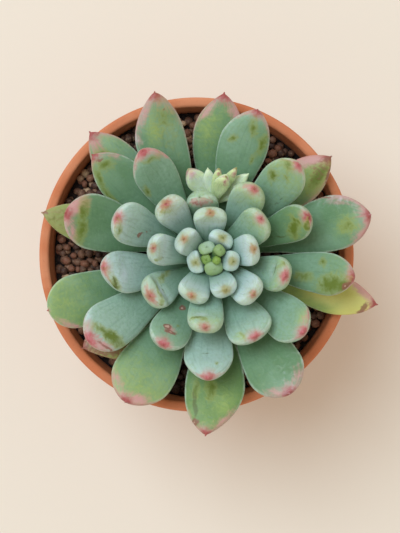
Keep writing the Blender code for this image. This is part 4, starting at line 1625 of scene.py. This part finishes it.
@dataclass(frozen=True)
class Granules:
    """Baked clay granules on dark soil, filling the pot to below its rim.

    Each of lumps is how deep a granule's lumps are, as a share of its size, and how fine. Shade is
    painted on the granules round the stem up to the first distance of shade, none from the second,
    and on a further patch under low leaves, round a place given from the frame's origin.
    """

    pot: Pot
    below_rim: float = 9.0
    size: float = 3.1
    pitch: float = 3.15
    row_shift: float = 0.6
    shake: float = 0.20
    uneven: float = 0.45
    layer_rise: float = 0.1
    layer_drop: float = 1.7
    stem_clearance: float = 6.9
    seed: int = 7
    scales: Span = (0.80, 1.12)
    stretches: Span = (0.82, 1.12)
    lumps: tuple[Span, ...] = ((0.16, 1.6), (0.07, 4.0))
    bed_drop: float = 1.6
    bed_inset: float = 0.4
    bed_rise: float = 0.3
    bed_sides: int = 96
    shade_spot: Span = (-5.0, -40.0)
    shade_spot_size: float = 17.0
    shade_spot_fullness: float = 1.4
    shade_tone_drop: float = 1.6
    shade: Span = (26.0, 42.0)

    def build(self, granule: bpy.types.Material, soil: bpy.types.Material,
              stem_axis: np.ndarray) -> list[bpy.types.Object]:
        """Make the soil and both layers of granules.

        Args:
            granule: Finish of the granules.
            soil: Finish of the soil under them.
            stem_axis: Foot of the stem's axis, in millimetres.

        Returns:
            The pieces.
        """
        top = self.pot.height() - self.below_rim
        wall = self.pot.inner_wall()
        edge = float(np.interp(top, [height for _, height in wall], [radius for radius, _ in wall]))
        bed = turned(self._bed_outline(top, edge, wall), self.bed_sides, closed=False)
        bed = bed.moved(self.pot.axis())
        pieces = [bed.piece("dark_soil_bed", soil, "soil", "clay_granules")]
        shake = np.random.default_rng(self.seed)
        for layer, name in enumerate(("lower_granules", "upper_granules")):
            level = top + self.layer_rise - self.layer_drop * (1 - layer)
            places = self._places(shake, edge, 0.5 * self.pitch * (1 - layer), stem_axis)
            grains = [self._grain(shake, place, level, self._painted_shade_depth(place, stem_axis))
                      for place in places]
            pieces.append(Surface.joined(grains).piece(name, granule, "soil", "clay_granules"))
        return pieces

    def _bed_outline(self, top: float, edge: float, wall: Outline) -> Outline:
        """Outline of the soil under the granules, which follows the pot's inner wall.

        Args:
            top: Height of the filling.
            edge: Its radius there.
            wall: Inside of the pot, from its floor up.

        Returns:
            Its points as (radius, height), from the top down.
        """
        level = top - self.bed_drop
        outline = [(ON_AXIS, level), (edge - self.bed_inset, level)]
        outline += [(radius - self.bed_inset, height + self.bed_rise)
                    for radius, height in reversed(wall[:-1])]
        return outline + [(ON_AXIS, wall[0][1] + self.bed_rise)]

    def _places(self, shake: np.random.Generator, edge: float, offset: float,
                stem_axis: np.ndarray) -> list[Span]:
        """Places of one layer's granules.

        Args:
            shake: Source of chance.
            edge: Radius of the soil.
            offset: How far this layer's grid is shifted.
            stem_axis: Foot of the stem's axis.

        Returns:
            The places from the frame's origin, in millimetres.
        """
        axis = self.pot.axis()
        row_step = self.pitch * math.sqrt(3.0) / 2.0
        count = int(edge / row_step) + 2
        places = []
        for row in range(-count, count + 1):
            for column in range(-2 * count, 2 * count + 1):
                x = self.pitch * (column + 0.5 * (row % 2)) + offset
                y = row_step * row + self.row_shift * offset
                x += self.pitch * self.shake * shake.uniform(-1.0, 1.0)
                y += self.pitch * self.shake * shake.uniform(-1.0, 1.0)
                inside = math.hypot(x, y) < edge - 0.5 * self.size
                world = (x + axis[0], y + axis[1])
                if inside and math.dist(world, stem_axis[:2]) > self.stem_clearance:
                    places.append(world)
        return places

    def _painted_shade_depth(self, place: Span, stem_axis: np.ndarray) -> float:
        """How deep the shade painted on a granule is: near the stem and under low leaves.

        Args:
            place: Where it lies.
            stem_axis: Foot of the stem's axis.

        Returns:
            From 0, none, to 1.
        """
        inner, outer = self.shade
        near = (outer - math.dist(place, stem_axis[:2])) / (outer - inner)
        under = self.shade_spot_fullness - math.dist(place, self.shade_spot) / self.shade_spot_size
        return float(smooth(max(near, under)))

    def _grain(self, shake: np.random.Generator, place: Span, level: float,
               painted_shade: float) -> Surface:
        """One lumpy granule.

        Args:
            shake: Source of chance.
            place: Where it lies.
            level: Height of its middle.
            painted_shade: How deep the shade painted on it is, from 0 to 1.

        Returns:
            Its surface.
        """
        ball, faces = unit_ball()
        scale = 0.5 * self.size * shake.uniform(*self.scales)
        stretch = shake.uniform(*self.stretches, 3)
        shift = Vector(shake.uniform(-50.0, 50.0, 3))
        lumps = np.array([1.0 + sum(depth * noise.noise(Vector(point) * fineness + shift)
                                    for depth, fineness in self.lumps) for point in ball])
        points = ball * stretch * lumps[:, None] * scale
        height = level + shake.uniform(-self.uneven, self.uneven)
        points += np.array([place[0], place[1], height])
        # Shade is painted on a granule by lowering its tone.
        tone = float(shake.uniform(0.0, 1.0)) - self.shade_tone_drop * painted_shade
        return Surface(points, faces, {"tone": np.full(len(points), tone)})


@cache
def unit_ball() -> tuple[np.ndarray, list[tuple[int, ...]]]:
    """A ball of radius 1 with evenly spread triangles, made once.

    Returns:
        Its points and faces.
    """
    ball = bmesh.new()
    bmesh.ops.create_icosphere(ball, subdivisions=2, radius=1.0)
    points = np.array([vertex.co[:] for vertex in ball.verts])
    faces = [tuple(vertex.index for vertex in face.verts) for face in ball.faces]
    ball.free()
    return points, faces


@dataclass(frozen=True)
class Stem:
    """The main stem: bare and woody below, hidden by the leaves above.

    Its heights are from the rim, and those of crown from its top.
    """

    from_pot_axis: Span = (4.8, -1.2)
    radius: float = 4.6
    foot_radius: float = 6.0
    soil_below_rim: float = 9.0
    depth_in_soil: float = 22.0
    collar: float = 1.0
    top_height: float = 24.0
    crown_rise: float = 0.5
    crown: tuple[Span, ...] = ((1.8, -0.6), (3.0, -3.5), (4.6, -8.5))
    foot_chamfer: float = 2.0
    bare_from: float = -5.0
    levels: int = 150
    sides: int = 48
    ring_pitch: float = 2.4
    ring_depth: float = 0.18
    ring_power: float = 0.6

    def axis(self, pot: Pot) -> np.ndarray:
        """The stem's axis at the height of the rim, in millimetres."""
        place = pot.axis()
        return place + np.array([self.from_pot_axis[0], self.from_pot_axis[1], pot.height()])

    def surface(self) -> Surface:
        """The stem with the rings that fallen leaves left.

        Returns:
            Its surface, from its axis at the height of the rim.
        """
        foot = -self.soil_below_rim - self.depth_in_soil
        outline = [
            (ON_AXIS, self.top_height + self.crown_rise),
            *((radius, self.top_height + height) for radius, height in self.crown),
            (self.radius, self.bare_from),
            (self.foot_radius, -self.soil_below_rim + self.collar),
            (self.foot_radius, foot + self.foot_chamfer),
            (self.foot_radius - self.foot_chamfer, foot),
            (ON_AXIS, foot),
        ]
        heights = np.array([height for _, height in outline])[::-1]
        radii = np.array([radius for radius, _ in outline])[::-1]
        levels = np.linspace(foot, self.top_height + self.crown_rise, self.levels)[::-1]
        scars = np.abs(np.sin(math.pi * levels / self.ring_pitch)) ** self.ring_power
        fine = np.interp(levels, heights, radii) - self.ring_depth * (1.0 - scars)
        fine = np.clip(fine, ON_AXIS, None)
        return turned(list(zip(fine.tolist(), levels.tolist())), self.sides, closed=False)


class ShootTone(Enum):
    """How a leaf of the side shoot is coloured, each with its own entry in SHOOT_DRESSES."""

    LIME = "lime, with a rusty pink patch"
    PINK_TIPPED = "pale green with a pink tip"
    WAXY = "pale and waxy"


@dataclass(frozen=True)
class ShootLeaf:
    """One leaf of the side shoot: millimetres and degrees from the head of its stem."""

    azimuth: float
    reach: float
    width: float
    thickness: float
    elevation: float
    foot: float
    tone: ShootTone


@dataclass(frozen=True)
class SideShoot:
    """The side shoot: a thin stem from an old leaf's axil, and its own young leaves.

    line holds points of the thin stem as (azimuth, radius, height) from the main stem's axis at
    the rim.
    """

    head: tuple[float, float, float] = (0.8, 18.9, 13.5)
    line: tuple[tuple[float, float, float], ...] = (
        (99.0, 5.6, 8.0), (98.0, 8.0, 8.8), (95.0, 12.0, 10.2), (91.0, 16.0, 12.0),
        (88.0, 19.5, 14.4))
    stem_radius: float = 0.8
    stem_rings: int = 26
    stem_sides: int = 16
    curl: float = 20.0
    pointed: float = 0.9
    widest: float = 0.68
    base_radius: float = 0.3
    neck_width: float = 0.5
    neck_height: float = 0.6
    age: float = -0.09
    first_number: int = 100
    leaves: tuple[ShootLeaf, ...] = (
        ShootLeaf(62.0, 9.2, 5.8, 3.6, 55.0, 1.5, ShootTone.LIME),
        ShootLeaf(80.0, 11.2, 3.6, 2.6, 42.0, 1.0, ShootTone.LIME),
        ShootLeaf(99.0, 11.6, 4.4, 2.8, 28.0, 0.0, ShootTone.WAXY),
        ShootLeaf(127.0, 14.0, 7.6, 4.2, 28.0, -0.5, ShootTone.PINK_TIPPED),
        ShootLeaf(55.0, 13.8, 4.0, 2.8, 36.0, 0.0, ShootTone.LIME),
        ShootLeaf(38.0, 15.5, 5.0, 3.0, 22.0, -1.0, ShootTone.WAXY),
        ShootLeaf(24.0, 13.0, 4.6, 2.8, 30.0, -0.5, ShootTone.WAXY),
    )

    def surfaces(self, form: LeafLoft) -> list[Surface]:
        """Its leaves, from the main stem's axis at the rim.

        Args:
            form: The way that leaves are lofted.

        Returns:
            One surface a leaf.
        """
        made = []
        for number, own in enumerate(self.leaves, self.first_number):
            leaf = Leaf(number=number, azimuth=own.azimuth, reach=own.reach, width=own.width,
                        thickness=own.thickness, elevation=own.elevation, curl=self.curl,
                        base_radius=self.base_radius, base_height=own.foot,
                        neck_width=self.neck_width * own.width,
                        neck_height=self.neck_height * own.thickness, pointed=self.pointed,
                        age=self.age, widest=self.widest, dress=SHOOT_DRESSES[own.tone])
            made.append(form.surface(leaf).moved(self.head))
        return made

    def stem(self) -> Surface:
        """Its thin stem, with the fields of a leaf so that it takes the same skin.

        Returns:
            The stem, from the main stem's axis at the rim.
        """
        azimuth, radius, height = np.array(self.line).T
        marks = np.linspace(0.0, len(self.line) - 1.0, self.stem_rings)
        known = np.arange(len(self.line))
        turn = np.radians(np.interp(marks, known, azimuth))
        out = np.interp(marks, known, radius)
        centre = np.stack([out * np.cos(turn), out * np.sin(turn),
                           np.interp(marks, known, height)], axis=1)
        ahead = np.gradient(centre, axis=0)
        ahead /= np.linalg.norm(ahead, axis=1)[:, None]
        aside = np.cross(ahead, (0.0, 0.0, 1.0))
        aside /= np.linalg.norm(aside, axis=1)[:, None]
        up = np.cross(aside, ahead)
        turns = 2.0 * math.pi * np.arange(self.stem_sides) / self.stem_sides
        rings = (centre[:, None, :] + self.stem_radius
                 * (np.cos(turns)[None, :, None] * aside[:, None, :]
                    + np.sin(turns)[None, :, None] * up[:, None, :]))
        faces = [tuple(reversed(face)) for face in loft(rings)]
        count = rings.shape[0] * rings.shape[1]
        fields = {name: np.full(count, value) for name, value in THIN_STEM_FIELDS.items()}
        return Surface(rings.reshape(-1, 3), faces, fields)


# The side shoot's looks: wax, partly a painted highlight, that its pale leaves share, the dresses
# of its leaves, and what its bare stem shows the leaf skin.
SHOOT_WAX_AND_HIGHLIGHT = Mark(WAX_AND_HIGHLIGHT, 0.60, 0.0, 16.0, 12.0, 0.0, 0.45)
SHOOT_DRESSES = {
    ShootTone.LIME: Dress(blush=2.4, halo=1.8, spot=1.0, glow=0.5, marks=(
        Mark(BLUSH, 0.84, -0.3, 5.0, 2.4, 0.0, 0.9),
        Mark(SCAR, 0.84, -0.3, 3.6, 1.6, 0.0, 0.08))),
    ShootTone.PINK_TIPPED: Dress(blush=3.4, halo=1.6, spot=0.0, glow=0.2, older=0.02, marks=(
        SHOOT_WAX_AND_HIGHLIGHT, Mark(BLUSH, 0.88, 0.1, 5.6, 3.4, 0.0, 1.4))),
    ShootTone.WAXY: Dress(blush=0.0, halo=0.0, spot=0.0, glow=0.2, marks=(SHOOT_WAX_AND_HIGHLIGHT,)),
}
THIN_STEM_FIELDS = {"age": 0.1, "tone": 0.0, "upper": 1.0, "across": 0.0, "along": 0.6,
                    "glow": 0.4, "blush": -1.0, "halo": -1.0, "spot": -1.0, "wax": -1.0,
                    "rub": -1.0, "scar": -1.0, "crease": -1.0}


@dataclass(frozen=True)
class Plant:
    """The whole plant: stem, heart, grown leaves and side shoot."""

    pot: Pot
    stem: Stem = Stem()
    spiral: Spiral = Spiral()
    form: LeafLoft = LeafLoft()
    shoot: SideShoot = SideShoot()

    def build(self, skin: bpy.types.Material, bark: bpy.types.Material) -> list[bpy.types.Object]:
        """Make and dress every part of the plant.

        Args:
            skin: Finish of the leaves.
            bark: Finish of the bare stem.

        Returns:
            The pieces.
        """
        axis = self.stem.axis(self.pot)
        node = "main_stem_and_heart"
        pieces = [self.stem.surface().moved(axis).piece("main_stem", bark, node, "young_leaf")]
        heart = [self.form.surface(self.spiral.leaf(number)).moved(axis)
                 for number in self.spiral.numbers() if number < self.spiral.heart_leaves]
        pieces.append(Surface.joined(heart).piece("heart_leaves", skin, node, "young_leaf"))
        for number in self.spiral.numbers():
            if number >= self.spiral.heart_leaves:
                surface = self.form.surface(self.spiral.leaf(number)).moved(axis)
                name = f"leaf_{number:02d}"
                pieces.append(surface.piece(f"fine_{name}", skin, name, "grown_leaf"))
        shoot = Surface.joined([self.shoot.stem()] + self.shoot.surfaces(self.form))
        pieces.append(shoot.moved(axis).piece("fine_side_shoot", skin, "side_shoot", "young_leaf"))
        return pieces


@dataclass(frozen=True)
class Studio:
    """Cream floor, one high soft light from the upper left, and a camera straight above.

    The floor and the light have their sizes in metres, and the camera in millimetres.
    """

    photo_height: float = 533.0
    focal_pixels: float = 1575.0
    camera_height: float = 645.0
    camera_from_pot_axis: Span = (1.22, -4.19)
    sensor: float = 36.0
    floor_size: float = 4.0
    light_distance: float = 2.6
    light_size: float = 1.55
    light_lean: float = 25.0
    light_azimuth: float = 138.0
    light_power: float = 41.0
    light_colour: Colour = (0.81, 1.0, 1.18)
    sky_colour: Colour = (1.0, 0.92, 0.815)
    sky_strength: float = 0.65

    def floor(self, finish: bpy.types.Material) -> bpy.types.Object:
        """The floor at height 0.

        Args:
            finish: Finish of the floor.

        Returns:
            The floor, which isn't part of the object.
        """
        half = self.floor_size / 2.0
        mesh = bpy.data.meshes.new("cream_floor")
        mesh.from_pydata([(-half, -half, 0.0), (half, -half, 0.0), (half, half, 0.0),
                          (-half, half, 0.0)], [], [(0, 1, 2, 3)])
        mesh.materials.append(finish)
        made = bpy.data.objects.new("cream_floor", mesh)
        bpy.context.scene.collection.objects.link(made)
        return made

    def light(self) -> None:
        """Hang the key light, and give the room its even light."""
        lamp = bpy.data.lights.new("window_light", "AREA")
        lamp.shape = "DISK"
        lamp.size = self.light_size
        lamp.energy = self.light_power
        lamp.color = self.light_colour
        made = bpy.data.objects.new("window_light", lamp)
        lean, around = math.radians(self.light_lean), math.radians(self.light_azimuth)
        toward = Vector((math.sin(lean) * math.cos(around), math.sin(lean) * math.sin(around),
                         math.cos(lean)))
        made.location = toward * self.light_distance
        made.rotation_euler = toward.to_track_quat("Z", "Y").to_euler()
        bpy.context.scene.collection.objects.link(made)
        world = bpy.data.worlds.new("room_light")
        world.use_nodes = True
        sky = world.node_tree.nodes["Background"]
        sky.inputs["Color"].default_value = (*self.sky_colour, 1.0)
        sky.inputs["Strength"].default_value = self.sky_strength
        bpy.context.scene.world = world

    def camera(self, pot_axis: np.ndarray) -> None:
        """The camera, straight above and a little beside the pot's axis.

        Args:
            pot_axis: Foot of the pot's axis, in millimetres.
        """
        data = bpy.data.cameras.new("camera_above")
        data.sensor_width = self.sensor
        data.lens = self.sensor * self.focal_pixels / self.photo_height
        made = bpy.data.objects.new("camera_above", data)
        made.location = ((pot_axis[0] + self.camera_from_pot_axis[0]) * MM,
                         (pot_axis[1] + self.camera_from_pot_axis[1]) * MM,
                         self.camera_height * MM)
        bpy.context.scene.collection.objects.link(made)
        bpy.context.scene.camera = made


def main() -> None:
    """Build the pot, its granules, the plant and the studio round them."""
    logging.basicConfig(level=logging.INFO, format="%(message)s")
    bpy.context.scene.view_settings.view_transform = "Standard"
    pot = Pot()
    pot.build(Terracotta().make())
    plant = Plant(pot)
    Granules(pot).build(BakedGranule().make(), DarkSoil().make(), plant.stem.axis(pot))
    plant.build(LeafSkin().make(), WoodyStem().make())
    studio = Studio()
    studio.floor(PaleFloor().make())
    studio.light()
    studio.camera(pot.axis())


if __name__ == "__main__":
    main()
